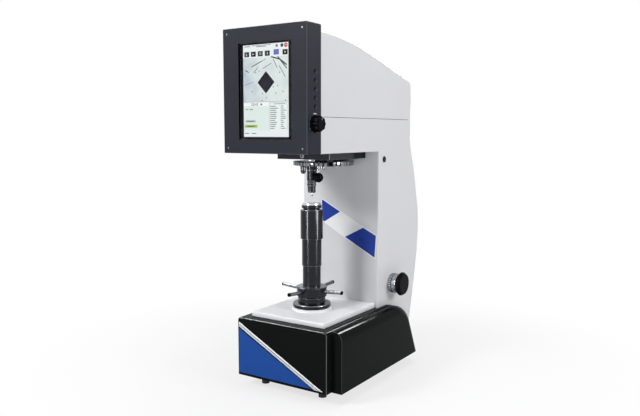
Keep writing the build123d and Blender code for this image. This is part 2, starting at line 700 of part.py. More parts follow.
with BuildPart() as screw_collar:
    tube(COLLAR_RING_FOOT, COLLAR_FOOT, COLLAR_RING_DIAMETER, SCREW_DIAMETER)
    tube(COLLAR_FOOT, COLLAR_TOP, COLLAR_DIAMETER, SCREW_DIAMETER)
    chamfer(screw_collar.faces().sort_by(Axis.Z)[-1].edges().sort_by(SortBy.LENGTH)[-1], COLLAR_EDGE)
save(screw_collar.part, "screw_collar")

with BuildPart() as test_anvil:
    plane, axis = turned_about(SCREW_AXIS_Y)
    with BuildSketch(plane):
        with BuildLine():
            Polyline(
                (0, COLLAR_TOP - ANVIL_STEM),
                (ANVIL_STEM_DIAMETER / 2, COLLAR_TOP - ANVIL_STEM),
                (ANVIL_STEM_DIAMETER / 2, COLLAR_TOP),
                (ANVIL_DIAMETER / 2 - ANVIL_FOOT_BEVEL, COLLAR_TOP),
                (ANVIL_DIAMETER / 2, COLLAR_TOP + ANVIL_FOOT_BEVEL),
                (ANVIL_DIAMETER / 2, ANVIL_FACE - ANVIL_EDGE),
                (ANVIL_DIAMETER / 2 - ANVIL_EDGE, ANVIL_FACE),
                (0, ANVIL_FACE),
                close=True,
            )
        make_face()
    revolve(axis=axis)
save(test_anvil.part, "test_anvil")


# ================================ column, arm and cover ===================================
def column_outline(x, inset, foot):
    """The side view of column and arm at x, drawn in by inset all round and cut at the seam."""
    rear = COLUMN_BULGE_Y - inset
    seam_y = COLUMN_SEAM_REAR_Y - inset
    foot_y = COLUMN_FOOT_REAR_Y - inset
    front = THROAT_FACE_Y + inset
    floor = ARM_UNDERSIDE + inset
    arm_front = ARM_FRONT_Y + inset
    swell = rear - seam_y
    taper = rear - foot_y
    bulge = COLUMN_BULGE_HEIGHT
    upper_drop = COVER_SEAM - bulge
    lower_drop = bulge - foot
    with BuildSketch(side(x)) as outline:
        with BuildLine():
            Spline(
                (seam_y, COVER_SEAM),
                *[(seam_y + out * swell, COVER_SEAM - down * upper_drop) for out, down in COLUMN_SWELL],
                (rear, COLUMN_BULGE_HEIGHT),
                tangents=[(0, -1), (0, -1)],
            )
            Spline(
                (rear, COLUMN_BULGE_HEIGHT),
                *[(rear - back * taper, bulge - down * lower_drop) for back, down in COLUMN_TAPER],
                (foot_y, foot),
                tangents=[(0, -1), (-0.25, -1)],
            )
            Polyline(
                (foot_y, foot),
                (front, foot),
                (front, floor),
                (arm_front, floor),
                (arm_front, COVER_SEAM),
                (seam_y, COVER_SEAM),
            )
        make_face()
    return outline.sketch


with BuildPart() as column_body:
    extrude(column_outline(-COLUMN_WIDTH / 2, 0, BASE_PLATE), amount=COLUMN_WIDTH)
    throat_edges = column_body.edges().filter_by(Axis.Z).filter_by(
        lambda edge: abs(edge.center().Y - at(0, THROAT_FACE_Y, 0)[1]) < 1
    )
    fillet(throat_edges, COLUMN_EDGE)
    inner_outline = column_outline(-COLUMN_WIDTH / 2 + COLUMN_WALL, COLUMN_WALL, BASE_PLATE)
    extrude(inner_outline, amount=COLUMN_WIDTH - 2 * COLUMN_WALL, mode=Mode.SUBTRACT)
    # The load rod comes down through the arm's floor.
    with Locations(level(ARM_FLOOR, 0, SCREW_AXIS_Y)):
        Hole(PUSH_ROD_FLANGE_DIAMETER / 2, depth=COLUMN_WALL)
    # The selector and the blanking plug pass through the right wall.
    with BuildSketch(side(WALL_FACE_X)):
        with Locations((SELECTOR_Y, SELECTOR_HEIGHT)):
            Circle(BUSHING_DIAMETER / 2)
        with Locations((PLUG_Y, PLUG_HEIGHT)):
            Circle(PLUG_HOLE_DIAMETER / 2)
    extrude(amount=-COLUMN_WALL, mode=Mode.SUBTRACT)
    # The display's leads pass through the arm's front wall.
    with BuildSketch(facing_front(ARM_FRONT_Y)):
        with Locations((0, (ARM_FLOOR + COVER_SEAM) / 2)):
            RectangleRounded(LEAD_SLOT_WIDTH, LEAD_SLOT_HEIGHT, LEAD_SLOT_CORNER)
    extrude(amount=-COLUMN_WALL, mode=Mode.SUBTRACT)
save(column_body.part, "column_body")


def cover_outline(x, inset):
    """The side view of the upper cover at x, drawn in by inset."""
    front = ARM_FRONT_Y + inset
    rear = COLUMN_SEAM_REAR_Y - inset
    top = COVER_SEAM + COVER_FRONT_HEIGHT - inset
    rear_top = COVER_SEAM + COVER_REAR_HEIGHT - inset
    drop = top - rear_top
    run = rear - front
    with BuildSketch(side(x)) as outline:
        with BuildLine():
            Spline(
                (front, top),
                *[(front + along * run, top - fall * drop) for along, fall in COVER_CROWN],
                (rear, rear_top),
                tangents=[(1, 0), (1, COVER_REAR_SLOPE)],
            )
            Polyline(
                (rear, rear_top),
                (rear + COVER_REAR_SWELL, COVER_SEAM + COVER_REAR_SWELL_HEIGHT),
                (rear, COVER_SEAM),
                (front, COVER_SEAM),
                (front, top),
            )
        make_face()
        rear_corner = vertices().group_by(Axis.Y)[-2].sort_by(Axis.X)[-1]
        fillet(rear_corner, COVER_CORNER - inset)
    return outline.sketch


with BuildPart() as upper_cover:
    extrude(cover_outline(-COLUMN_WIDTH / 2, 0), amount=COLUMN_WIDTH)
    inner_outline = cover_outline(-COLUMN_WIDTH / 2 + COVER_WALL, COVER_WALL)
    extrude(inner_outline, amount=COLUMN_WIDTH - 2 * COVER_WALL, mode=Mode.SUBTRACT)
save(upper_cover.part, "upper_cover")

with BuildPart() as column_plug:
    with BuildSketch(side(WALL_FACE_X)):
        with Locations((PLUG_Y, PLUG_HEIGHT)):
            Circle(PLUG_DIAMETER / 2)
    extrude(amount=PLUG_CAP)
    fillet(column_plug.faces().sort_by(Axis.X)[-1].edges(), PLUG_EDGE)
    with BuildSketch(side(WALL_FACE_X)):
        with Locations((PLUG_Y, PLUG_HEIGHT)):
            Circle((PLUG_HOLE_DIAMETER - SEAT_GAP) / 2)
    extrude(amount=-COLUMN_WALL)
save(column_plug.part, "column_plug")


# ======================================= turret ===========================================
def station(angle, radius=STATION_RADIUS):
    """The x and y of a turret station."""
    return radius * cos(radians(angle)), TURRET_AXIS_Y + radius * sin(radians(angle))


plunger_height = DISC_FACE + TURRET_DISC / 2


def plunger_plane(radius):
    """The upright plane across the index plunger, facing away from the turret's axis."""
    turn = radians(PLUNGER_ANGLE)
    origin = at(*station(PLUNGER_ANGLE, radius), plunger_height)
    return Plane(origin=origin, x_dir=(-sin(turn), cos(turn), 0), z_dir=(cos(turn), sin(turn), 0))


with BuildPart() as turret_plate:
    plate_depth = THROAT_FACE_Y - SEAT_GAP - TURRET_PLATE_FRONT_Y
    with BuildSketch(level(TURRET_PLATE_FACE)):
        with Locations((0, TURRET_PLATE_FRONT_Y + plate_depth / 2)):
            Rectangle(TURRET_PLATE_WIDTH, plate_depth)
    extrude(amount=TURRET_PLATE)
    chamfer(turret_plate.edges().filter_by(Axis.Z).group_by(Axis.Y)[0], TURRET_EDGE)
    tube(TURRET_PLATE_FACE - TURRET_GAP + SEAT_GAP, TURRET_PLATE_FACE, WASHER_DIAMETER, None, TURRET_AXIS_Y)
    # The index plunger's block hangs beside the disc's rim.
    block_start = TURRET_DIAMETER / 2 + PLUNGER_BLOCK_GAP
    block_foot = plunger_height - PLUNGER_DIAMETER
    with BuildSketch(plunger_plane(block_start)):
        with Locations((0, (TURRET_PLATE_FACE + block_foot) / 2 - plunger_height)):
            Rectangle(PLUNGER_BLOCK_WIDTH, TURRET_PLATE_FACE - block_foot)
    extrude(amount=PLUNGER_BLOCK)
    with BuildSketch(plunger_plane(block_start)):
        Circle(PLUNGER_DIAMETER / 2 + RUNNING_CLEARANCE)
    extrude(amount=PLUNGER_BLOCK, mode=Mode.SUBTRACT)
    with BuildSketch(level(ARM_UNDERSIDE, 0, SCREW_AXIS_Y)):
        Circle(PUSH_ROD_DIAMETER / 2 + 1)
    extrude(amount=-TURRET_PLATE, mode=Mode.SUBTRACT)
    with BuildSketch(level(ARM_UNDERSIDE, 0, TURRET_AXIS_Y)):
        Circle(PIVOT_DIAMETER / 2)
    extrude(amount=-TURRET_PLATE - TURRET_GAP, mode=Mode.SUBTRACT)
save(turret_plate.part, "turret_plate")

with BuildPart() as plate_screw:
    with BuildSketch(facing_front(TURRET_PLATE_FRONT_Y)):
        with Locations((0, ARM_UNDERSIDE - TURRET_PLATE / 2)):
            Circle(PLATE_SCREW_DIAMETER / 2)
    extrude(amount=PLATE_SCREW_HEAD)
    chamfer(plate_screw.faces().sort_by(Axis.Y)[0].edges(), PLATE_SCREW_EDGE)
    with BuildSketch(facing_front(TURRET_PLATE_FRONT_Y - PLATE_SCREW_HEAD)):
        with Locations((0, ARM_UNDERSIDE - TURRET_PLATE / 2)):
            RegularPolygon(PLATE_SCREW_SOCKET, 6)
    extrude(amount=-PLATE_SCREW_SOCKET_DEPTH, mode=Mode.SUBTRACT)
save(plate_screw.part, "plate_screw")

with BuildPart() as turret_pivot:
    tube(DISC_FACE - SEAT_GAP - PIVOT_CAP, DISC_FACE - SEAT_GAP, PIVOT_CAP_DIAMETER, None, TURRET_AXIS_Y)
    chamfer(turret_pivot.faces().sort_by(Axis.Z)[0].edges(), TURRET_EDGE)
    tube(DISC_FACE - SEAT_GAP, ARM_UNDERSIDE, PIVOT_DIAMETER, None, TURRET_AXIS_Y)
save(turret_pivot.part, "turret_pivot")

with BuildPart() as turret_disc:
    tube(DISC_FACE, DISC_TOP, TURRET_DIAMETER, PIVOT_DIAMETER + 2 * RUNNING_CLEARANCE, TURRET_AXIS_Y)
    chamfer(turret_disc.edges().filter_by(GeomType.CIRCLE).sort_by(SortBy.LENGTH)[-2:], TURRET_EDGE)
    # One shallow detent in the rim for each station.
    for number in range(TURRET_STATIONS):
        x, y = station(PLUNGER_ANGLE + STATION_PITCH * number, TURRET_DIAMETER / 2 + DETENT_OFFSET)
        with BuildSketch(level(DISC_FACE, x, y)):
            Circle(PLUNGER_DIAMETER / 2)
        extrude(amount=TURRET_DISC, mode=Mode.SUBTRACT)
    spindle_x, spindle_y = station(-90)
    with Locations(level(DISC_TOP, spindle_x, spindle_y)):
        seat_radius = SPINDLE_HEAD_DIAMETER / 2 + SPINDLE_SEAT_CLEARANCE
        CounterBoreHole(SPINDLE_DIAMETER / 2 + HOUSING_WALL, seat_radius, SPINDLE_SEAT, depth=TURRET_DISC)
    for angle in (LONG_OBJECTIVE_ANGLE, SHORT_OBJECTIVE_ANGLE):
        with Locations(level(DISC_TOP, *station(angle))):
            Hole(OBJECTIVE_SHANK_DIAMETER / 2, depth=TURRET_DISC)
save(turret_disc.part, "turret_disc")

with BuildPart() as spindle_housing:
    plane, axis = turned_about(SCREW_AXIS_Y)
    inner = SPINDLE_DIAMETER / 2 + RUNNING_CLEARANCE
    neck = SPINDLE_DIAMETER / 2 + HOUSING_WALL
    outer = SPINDLE_HOUSING_DIAMETER / 2
    nose = outer - HOUSING_STEP
    collar = outer + HOUSING_COLLAR_STEP
    with BuildSketch(plane):
        with BuildLine():
            Polyline(
                (inner, SPINDLE_HOUSING_FACE),
                (nose, SPINDLE_HOUSING_FACE),
                (nose, SPINDLE_HOUSING_FACE + HOUSING_NOSE),
                (outer, SPINDLE_HOUSING_FACE + HOUSING_NOSE + HOUSING_STEP),
                (outer, DISC_FACE - HOUSING_COLLAR),
                (collar, DISC_FACE - HOUSING_COLLAR + HOUSING_COLLAR_STEP),
                (collar, DISC_FACE),
                (neck, DISC_FACE),
                (neck, DISC_FACE + HOUSING_NECK),
                (inner, DISC_FACE + HOUSING_NECK),
                close=True,
            )
        make_face()
    revolve(axis=axis)
save(spindle_housing.part, "spindle_housing")


def objective(angle, diameter, length):
    """Add an objective: a stepped barrel under the disc and a shank inside it."""
    x, y = station(angle)
    plane, axis = turned_about(y, x)
    shank = OBJECTIVE_SHANK_DIAMETER / 2
    waist = diameter / 2 - OBJECTIVE_STEP
    knurl_end, groove_end, ring_end = [DISC_FACE - share * length for share in OBJECTIVE_STEPS]
    with BuildSketch(plane) as barrel:
        with BuildLine():
            Polyline(
                (0, DISC_TOP - TURRET_EDGE),
                (shank, DISC_TOP - TURRET_EDGE),
                (shank, DISC_FACE),
                (diameter / 2, DISC_FACE),
                (diameter / 2, knurl_end),
                (waist, groove_end),
                (waist, ring_end),
                (diameter / 4, DISC_FACE - length),
                (0, DISC_FACE - length),
                close=True,
            )
        make_face()
    revolve(barrel.sketch, axis=axis)


with BuildPart() as long_objective:
    objective(LONG_OBJECTIVE_ANGLE, LONG_OBJECTIVE_DIAMETER, LONG_OBJECTIVE)
save(long_objective.part, "long_objective")

with BuildPart() as short_objective:
    objective(SHORT_OBJECTIVE_ANGLE, SHORT_OBJECTIVE_DIAMETER, SHORT_OBJECTIVE)
save(short_objective.part, "short_objective")

with BuildPart() as turret_handle:
    handle_x, handle_y = station(HANDLE_ANGLE, HANDLE_RADIUS)
    with BuildSketch(level(DISC_FACE, handle_x, handle_y)):
        Circle(HANDLE_STEM_DIAMETER / 2)
    extrude(amount=-HANDLE_DROP)
    with Locations(level(DISC_FACE - HANDLE_DROP, handle_x, handle_y)):
        Sphere(HANDLE_BALL_DIAMETER / 2)
save(turret_handle.part, "turret_handle")

with BuildPart() as index_plunger:
    tip_radius = TURRET_DIAMETER / 2 + PLUNGER_TIP_GAP
    with BuildSketch(plunger_plane(tip_radius)):
        Circle(PLUNGER_DIAMETER / 2)
    extrude(amount=PLUNGER_BALL_RADIUS - tip_radius)
    chamfer(index_plunger.edges().filter_by(GeomType.CIRCLE).sort_by(Axis.X)[0], PLUNGER_TIP_BEVEL)
    with Locations(plunger_plane(PLUNGER_BALL_RADIUS)):
        Sphere(PLUNGER_BALL_DIAMETER / 2)
save(index_plunger.part, "index_plunger")

with BuildPart() as spindle:
    tube(NOSE_TOP - NOSE_GRIP, DISC_TOP, SPINDLE_DIAMETER, None)
    tube(DISC_TOP - SPINDLE_HEAD, DISC_TOP + SPINDLE_PROUD, SPINDLE_HEAD_DIAMETER, None)
    with BuildSketch(level(NOSE_TOP - NOSE_GRIP, 0, SCREW_AXIS_Y)):
        Circle(SPINDLE_SOCKET_DIAMETER / 2)
    extrude(amount=SPINDLE_SOCKET, mode=Mode.SUBTRACT)
save(spindle.part, "spindle")

with BuildPart() as nose_cap:
    plane, axis = turned_about(SCREW_AXIS_Y)
    with BuildSketch(plane):
        with BuildLine():
            Polyline(
                (SPINDLE_DIAMETER / 2, NOSE_TOP),
                (NOSE_TOP_DIAMETER / 2, NOSE_TOP),
                (NOSE_TOP_DIAMETER / 2, NOSE_TOP - NOSE_RIM),
                (NOSE_TOP_DIAMETER / 2 - NOSE_STEP, NOSE_TOP - NOSE_RIM - NOSE_STEP),
                (NOSE_END_DIAMETER / 2, NOSE_FACE + NOSE_EDGE),
                (NOSE_END_DIAMETER / 2 - NOSE_EDGE, NOSE_FACE),
                (INDENTER_DIAMETER / 2, NOSE_FACE),
                (INDENTER_DIAMETER / 2, NOSE_TOP - NOSE_GRIP),
                (SPINDLE_DIAMETER / 2, NOSE_TOP - NOSE_GRIP),
                close=True,
            )
        make_face()
    revolve(axis=axis)
save(nose_cap.part, "nose_cap")

with BuildPart() as indenter:
    plane, axis = turned_about(SCREW_AXIS_Y)
    with BuildSketch(plane):
        with BuildLine():
            Polyline(
                (0, NOSE_TOP - NOSE_GRIP),
                (INDENTER_DIAMETER / 2, NOSE_TOP - NOSE_GRIP),
                (INDENTER_DIAMETER / 2, NOSE_FACE - INDENTER_SHANK),
                (DIAMOND_HOLDER_DIAMETER / 2, INDENTER_TIP + DIAMOND_LENGTH + DIAMOND_HOLDER),
                (DIAMOND_DIAMETER / 2, INDENTER_TIP + DIAMOND_LENGTH),
                (0, INDENTER_TIP),
                close=True,
            )
        make_face()
    revolve(axis=axis)
save(indenter.part, "indenter")


# ===================================== load train =========================================
LEVER_UNDERSIDE = LEVER_PIVOT_HEIGHT - LEVER_DEPTH / 2
LEVER_TOP = LEVER_PIVOT_HEIGHT + LEVER_DEPTH / 2
END_TOP = LEVER_PIVOT_HEIGHT + LEVER_END_DEPTH / 2
CHEEK_X = LEVER_WIDTH / 2 + CHEEK_GAP
HANGER_BAR_CENTRE = END_TOP + HANGER_BAR_RISE
HANGER_YOKE_TOP = LEVER_UNDERSIDE - HANGER_DROP

with BuildPart() as lever_bracket:
    with BuildSketch(level(ARM_FLOOR)):
        with Locations((0, (LEVER_PIVOT_Y + SCREW_AXIS_Y) / 2)):
            Rectangle(2 * (CHEEK_X + CHEEK_THICKNESS), SCREW_AXIS_Y - LEVER_PIVOT_Y + 2 * LEVER_WIDTH)
    extrude(amount=COLUMN_WALL)
    for x in (-CHEEK_X - CHEEK_THICKNESS, CHEEK_X):
        with BuildSketch(side(x)):
            with BuildLine():
                Polyline(
                    (LEVER_PIVOT_Y + CHEEK_FOOT[0], ARM_FLOOR),
                    (LEVER_PIVOT_Y + CHEEK_HEAD[0], LEVER_PIVOT_HEIGHT + CHEEK_TOP),
                    (LEVER_PIVOT_Y + CHEEK_HEAD[1], LEVER_PIVOT_HEIGHT + CHEEK_TOP),
                    (LEVER_PIVOT_Y + CHEEK_FOOT[1], ARM_FLOOR),
                    close=True,
                )
            make_face()
            with Locations((LEVER_PIVOT_Y, LEVER_PIVOT_HEIGHT)):
                Circle(PIN_DIAMETER / 2, mode=Mode.SUBTRACT)
        extrude(amount=CHEEK_THICKNESS)
    tube(ARM_FLOOR, ARM_FLOOR + GUIDE_BOSS, PUSH_ROD_FLANGE_DIAMETER + 2 * GUIDE_BOSS_WALL, None)
    tube(ARM_UNDERSIDE, ARM_FLOOR, PUSH_ROD_FLANGE_DIAMETER - SEAT_GAP, None)
    with Locations(level(ARM_FLOOR + GUIDE_BOSS, 0, SCREW_AXIS_Y)):
        Hole(PUSH_ROD_DIAMETER / 2 + RUNNING_CLEARANCE)
save(lever_bracket.part, "lever_bracket")

with BuildPart() as lever_pin:
    pin_end = CHEEK_X + CHEEK_THICKNESS + CHEEK_GAP
    with BuildSketch(side(-pin_end)):
        with Locations((LEVER_PIVOT_Y, LEVER_PIVOT_HEIGHT)):
            Circle(PIN_DIAMETER / 2)
    extrude(amount=2 * pin_end)
save(lever_pin.part, "lever_pin")

with BuildPart() as load_lever:
    with BuildSketch(side(-LEVER_WIDTH / 2)):
        with BuildLine():
            Polyline(
                (LEVER_PIVOT_Y - LEVER_NOSE, LEVER_UNDERSIDE),
                (LEVER_PIVOT_Y - LEVER_NOSE, LEVER_TOP),
                (SCREW_AXIS_Y + LEVER_TAPER_START, LEVER_TOP),
                (LEVER_END_Y + LEVER_TAIL, END_TOP),
                (LEVER_END_Y + LEVER_TAIL, END_TOP - LEVER_END_DEPTH),
                (SCREW_AXIS_Y + LEVER_TAPER_START, LEVER_UNDERSIDE),
                close=True,
            )
        make_face()
        with Locations((LEVER_PIVOT_Y, LEVER_PIVOT_HEIGHT)):
            Circle(PIN_DIAMETER / 2 + RUNNING_CLEARANCE, mode=Mode.SUBTRACT)
        with Locations((LEVER_END_Y, HANGER_BAR_CENTRE)):
            Circle(HANGER_BAR_DIAMETER / 2 + SEAT_GAP, mode=Mode.SUBTRACT)
    extrude(amount=LEVER_WIDTH)
    tube(LEVER_UNDERSIDE, LEVER_TOP, LEVER_EYE_DIAMETER, None)
    with Locations(level(LEVER_TOP, 0, SCREW_AXIS_Y)):
        Hole(LEVER_BORE / 2)
save(load_lever.part, "load_lever")

with BuildPart() as push_rod:
    rod_top = LEVER_UNDERSIDE - PUSH_ROD_GAP
    rod_foot = DISC_TOP + SPINDLE_PROUD + SEAT_GAP
    tube(rod_foot, rod_top - PUSH_ROD_FLANGE, PUSH_ROD_DIAMETER, PUSH_ROD_BORE)
    tube(rod_top - PUSH_ROD_FLANGE, rod_top, PUSH_ROD_FLANGE_DIAMETER, PUSH_ROD_BORE)
save(push_rod.part, "push_rod")

with BuildPart() as weight_hanger:
    half_span = LEVER_WIDTH / 2 + HANGER_SIDE_GAP
    side_top = HANGER_BAR_CENTRE + HANGER_SIDE_TOP
    with BuildSketch(side(-half_span - HANGER_SIDE)):
        with Locations((LEVER_END_Y, HANGER_BAR_CENTRE)):
            Circle(HANGER_BAR_DIAMETER / 2)
    extrude(amount=2 * (half_span + HANGER_SIDE))
    for x in (-half_span - HANGER_SIDE, half_span):
        with BuildSketch(side(x)):
            with Locations((LEVER_END_Y, (side_top + HANGER_YOKE_TOP) / 2)):
                Rectangle(HANGER_SIDE_WIDTH, side_top - HANGER_YOKE_TOP)
        extrude(amount=HANGER_SIDE)
    with BuildSketch(level(HANGER_YOKE_TOP, 0, LEVER_END_Y)):
        Rectangle(2 * (half_span + HANGER_SIDE), HANGER_SIDE_WIDTH)
    extrude(amount=-HANGER_YOKE)
    tube(HANGER_ROD_END, HANGER_YOKE_TOP - HANGER_YOKE, HANGER_ROD_DIAMETER, None, LEVER_END_Y)
    tube(WEIGHT_STACK_BASE - HANGER_DISC, WEIGHT_STACK_BASE, HANGER_DISC_DIAMETER, None, LEVER_END_Y)
save(weight_hanger.part, "weight_hanger")

with BuildPart() as weight_stack:
    stack_height = WEIGHT_STACK_BASE
    for thickness in reversed(WEIGHT_HEIGHTS):
        bore = HANGER_ROD_DIAMETER + 2 * RUNNING_CLEARANCE
        tube(stack_height, stack_height + thickness, WEIGHT_DIAMETER, bore, LEVER_END_Y)
        stack_height += thickness + SEAT_GAP
save(weight_stack.part, "weight_stack")

with BuildPart() as lift_actuator:
    with BuildSketch(level(BASE_PLATE, 0, ACTUATOR_FOOT_Y)):
        RectangleRounded(ACTUATOR_FOOT[0], ACTUATOR_FOOT[1], ACTUATOR_FOOT_CORNER)
    extrude(amount=ACTUATOR_FOOT[2])
    tube(BASE_PLATE, BASE_PLATE + ACTUATOR_HEIGHT, ACTUATOR_GUIDE_DIAMETER, None, LEVER_END_Y)
    tube(BASE_PLATE, BASE_PLATE + MOTOR_HEIGHT, MOTOR_DIAMETER, None, MOTOR_Y)
    with Locations(level(BASE_PLATE + ACTUATOR_HEIGHT, 0, LEVER_END_Y)):
        Hole(HANGER_ROD_DIAMETER / 2 + RUNNING_CLEARANCE, depth=ACTUATOR_HEIGHT - ACTUATOR_GUIDE_FLOOR)
save(lift_actuator.part, "lift_actuator")


# ==================================== load selector =======================================
def selector_disc(x, length, diameter, bore=None):
    """Add a disc about the selector's axis, from x outwards."""
    with BuildSketch(side(x)) as ring:
        with Locations((SELECTOR_Y, SELECTOR_HEIGHT)):
            Circle(diameter / 2)
            if bore:
                Circle(bore / 2, mode=Mode.SUBTRACT)
    extrude(ring.sketch, amount=length)


selector_bore = SELECTOR_SHAFT_DIAMETER + 2 * RUNNING_CLEARANCE
dial_x = WALL_FACE_X + INDEX_RING + SEAT_GAP
knob_x = dial_x + DIAL_LENGTH

with BuildPart() as selector_bushing:
    selector_disc(WALL_FACE_X, INDEX_RING, INDEX_RING_DIAMETER, selector_bore)
    chamfer(selector_bushing.faces().sort_by(Axis.X)[-1].edges().sort_by(SortBy.LENGTH)[-1], DIAL_EDGE)
    selector_disc(WALL_FACE_X - BUSHING_LENGTH, BUSHING_LENGTH, BUSHING_DIAMETER - SEAT_GAP, selector_bore)
save(selector_bushing.part, "selector_bushing")

with BuildPart() as selector_dial:
    selector_disc(dial_x, DIAL_LENGTH, DIAL_DIAMETER, SELECTOR_SHAFT_DIAMETER)
    rims = selector_dial.edges().filter_by(GeomType.CIRCLE).sort_by(SortBy.LENGTH)[-2:]
    chamfer(rims, DIAL_EDGE)
save(selector_dial.part, "selector_dial")

with BuildPart() as selector_knob:
    knob_centre = at(0, SELECTOR_Y, SELECTOR_HEIGHT)
    with BuildSketch(Plane(origin=knob_centre, x_dir=(1, 0, 0), z_dir=(0, -1, 0))):
        with BuildLine():
            Polyline(
                (knob_x, SELECTOR_SHAFT_DIAMETER / 2),
                (knob_x, KNOB_BACK_DIAMETER / 2),
                (knob_x + KNOB_FLARE - KNOB_BAND, KNOB_DIAMETER / 2),
                (knob_x + KNOB_FLARE + KNOB_BAND, KNOB_DIAMETER / 2),
                (knob_x + KNOB_LENGTH - KNOB_EDGE, KNOB_FACE_DIAMETER / 2 + KNOB_EDGE),
                (knob_x + KNOB_LENGTH, KNOB_FACE_DIAMETER / 2 - KNOB_EDGE),
                (knob_x + KNOB_LENGTH, 0),
                (knob_x + KNOB_SOCKET, 0),
                (knob_x + KNOB_SOCKET, SELECTOR_SHAFT_DIAMETER / 2),
                close=True,
            )
        make_face()
    revolve(axis=Axis(knob_centre, (1, 0, 0)))
    # Finger flutes round the flared rim.
    with BuildSketch(side(knob_x)):
        with Locations((SELECTOR_Y, SELECTOR_HEIGHT)):
            with PolarLocations(KNOB_DIAMETER / 2 + KNOB_FLUTE_OFFSET, KNOB_FLUTES):
                Circle(KNOB_FLUTE_DIAMETER / 2)
    extrude(amount=KNOB_LENGTH, mode=Mode.SUBTRACT)
save(selector_knob.part, "selector_knob")

with BuildPart() as selector_shaft:
    shaft_x = knob_x + KNOB_SOCKET - SELECTOR_SHAFT_LENGTH
    selector_disc(shaft_x, SELECTOR_SHAFT_LENGTH, SELECTOR_SHAFT_DIAMETER)
    cam_x = WALL_FACE_X - BUSHING_LENGTH - SEAT_GAP - CAM_THICKNESS
    with BuildSketch(side(cam_x)):
        with Locations((SELECTOR_Y, SELECTOR_HEIGHT)):
            Circle(CAM_DIAMETER / 2)
            with PolarLocations(CAM_DIAMETER / 2, CAM_LOBES):
                Circle(CAM_LOBE_DIAMETER / 2)
    extrude(amount=CAM_THICKNESS)
save(selector_shaft.part, "selector_shaft")


# ==================================== display head ========================================
head_centre = HEAD_BOTTOM + HEAD_HEIGHT / 2
window_centre = (WINDOW_CENTRE[0], HEAD_BOTTOM + WINDOW_CENTRE[1])
display_centre = (DISPLAY_CENTRE[0], HEAD_BOTTOM + DISPLAY_CENTRE[1])
glass_back_y = HEAD_FRONT_Y + GLASS_RECESS + GLASS_THICKNESS
brightness_place = (BRIGHTNESS_Y, HEAD_BOTTOM + BRIGHTNESS_RISE)
button_places = [
    (BUTTON_Y, HEAD_BOTTOM + BUTTON_TOP_RISE - BUTTON_PITCH * number) for number in range(BUTTON_COUNT)
]

with BuildPart() as head_shell:
    with BuildSketch(facing_front(ARM_FRONT_Y)):
        with Locations((0, head_centre)):
            Rectangle(HEAD_WIDTH, HEAD_HEIGHT)
    extrude(amount=ARM_FRONT_Y - BEZEL_BACK_Y)
    fillet(head_shell.edges().filter_by(Axis.Y), HEAD_EDGE)
    with BuildSketch(facing_front(ARM_FRONT_Y - HEAD_WALL)):
        with Locations((0, head_centre)):
            Rectangle(HEAD_WIDTH - 2 * HEAD_WALL, HEAD_HEIGHT - 2 * HEAD_WALL)
    extrude(amount=ARM_FRONT_Y - BEZEL_BACK_Y, mode=Mode.SUBTRACT)
    with BuildSketch(side(HEAD_SIDE_X)):
        with Locations(*button_places):
            Circle(BUTTON_DIAMETER / 2 + RUNNING_CLEARANCE)
        with Locations(brightness_place):
            Circle(BRIGHTNESS_SHAFT_DIAMETER / 2 + RUNNING_CLEARANCE)
    extrude(amount=-HEAD_WALL, mode=Mode.SUBTRACT)
    with BuildSketch(facing_front(ARM_FRONT_Y)):
        with Locations((0, (ARM_FLOOR + COVER_SEAM) / 2)):
            RectangleRounded(LEAD_SLOT_WIDTH, LEAD_SLOT_HEIGHT, LEAD_SLOT_CORNER)
    extrude(amount=HEAD_WALL, mode=Mode.SUBTRACT)
save(head_shell.part, "head_shell")

screw_x = HEAD_WIDTH / 2 - BEZEL_SCREW_INSET
screw_places = [
    (x, h)
    for x in (-screw_x, screw_x)
    for h in (HEAD_BOTTOM + BEZEL_SCREW_INSET, HEAD_BOTTOM + HEAD_HEIGHT - BEZEL_SCREW_INSET)
]

with BuildPart() as head_bezel:
    with BuildSketch(facing_front(BEZEL_BACK_Y)):
        with Locations((0, head_centre)):
            Rectangle(HEAD_WIDTH, HEAD_HEIGHT)
    extrude(amount=BEZEL_THICKNESS)
    fillet(head_bezel.edges().filter_by(Axis.Y), HEAD_EDGE)
    chamfer(head_bezel.faces().sort_by(Axis.Y)[0].edges(), BEZEL_EDGE)
    with BuildSketch(facing_front(BEZEL_BACK_Y)):
        with Locations(display_centre):
            Rectangle(DISPLAY_SIZE[0] + 2 * LCD_MARGIN, DISPLAY_SIZE[1] + 2 * LCD_MARGIN)
    extrude(amount=BEZEL_THICKNESS, mode=Mode.SUBTRACT)
    with BuildSketch(facing_front(glass_back_y)):
        with Locations(window_centre):
            Rectangle(*WINDOW_SIZE)
    extrude(amount=BEZEL_THICKNESS, mode=Mode.SUBTRACT)
    with BuildSketch(facing_front(HEAD_FRONT_Y)):
        with Locations(*screw_places):
            Circle(BEZEL_SCREW_DIAMETER / 2)
    extrude(amount=-BEZEL_SCREW_SINK, mode=Mode.SUBTRACT)
save(head_bezel.part, "head_bezel")

with BuildPart() as display_glass:
    with BuildSketch(facing_front(glass_back_y)):
        with Locations(window_centre):
            Rectangle(WINDOW_SIZE[0] - SEAT_GAP, WINDOW_SIZE[1] - SEAT_GAP)
    extrude(amount=GLASS_THICKNESS)
save(display_glass.part, "display_glass")

with BuildPart() as lcd_panel:
    with BuildSketch(facing_front(glass_back_y + LCD_THICKNESS)):
        with Locations(display_centre):
            margin = 2 * LCD_MARGIN - SEAT_GAP
            Rectangle(DISPLAY_SIZE[0] + margin, DISPLAY_SIZE[1] + margin)
    extrude(amount=LCD_THICKNESS)
save(lcd_panel.part, "lcd_panel")

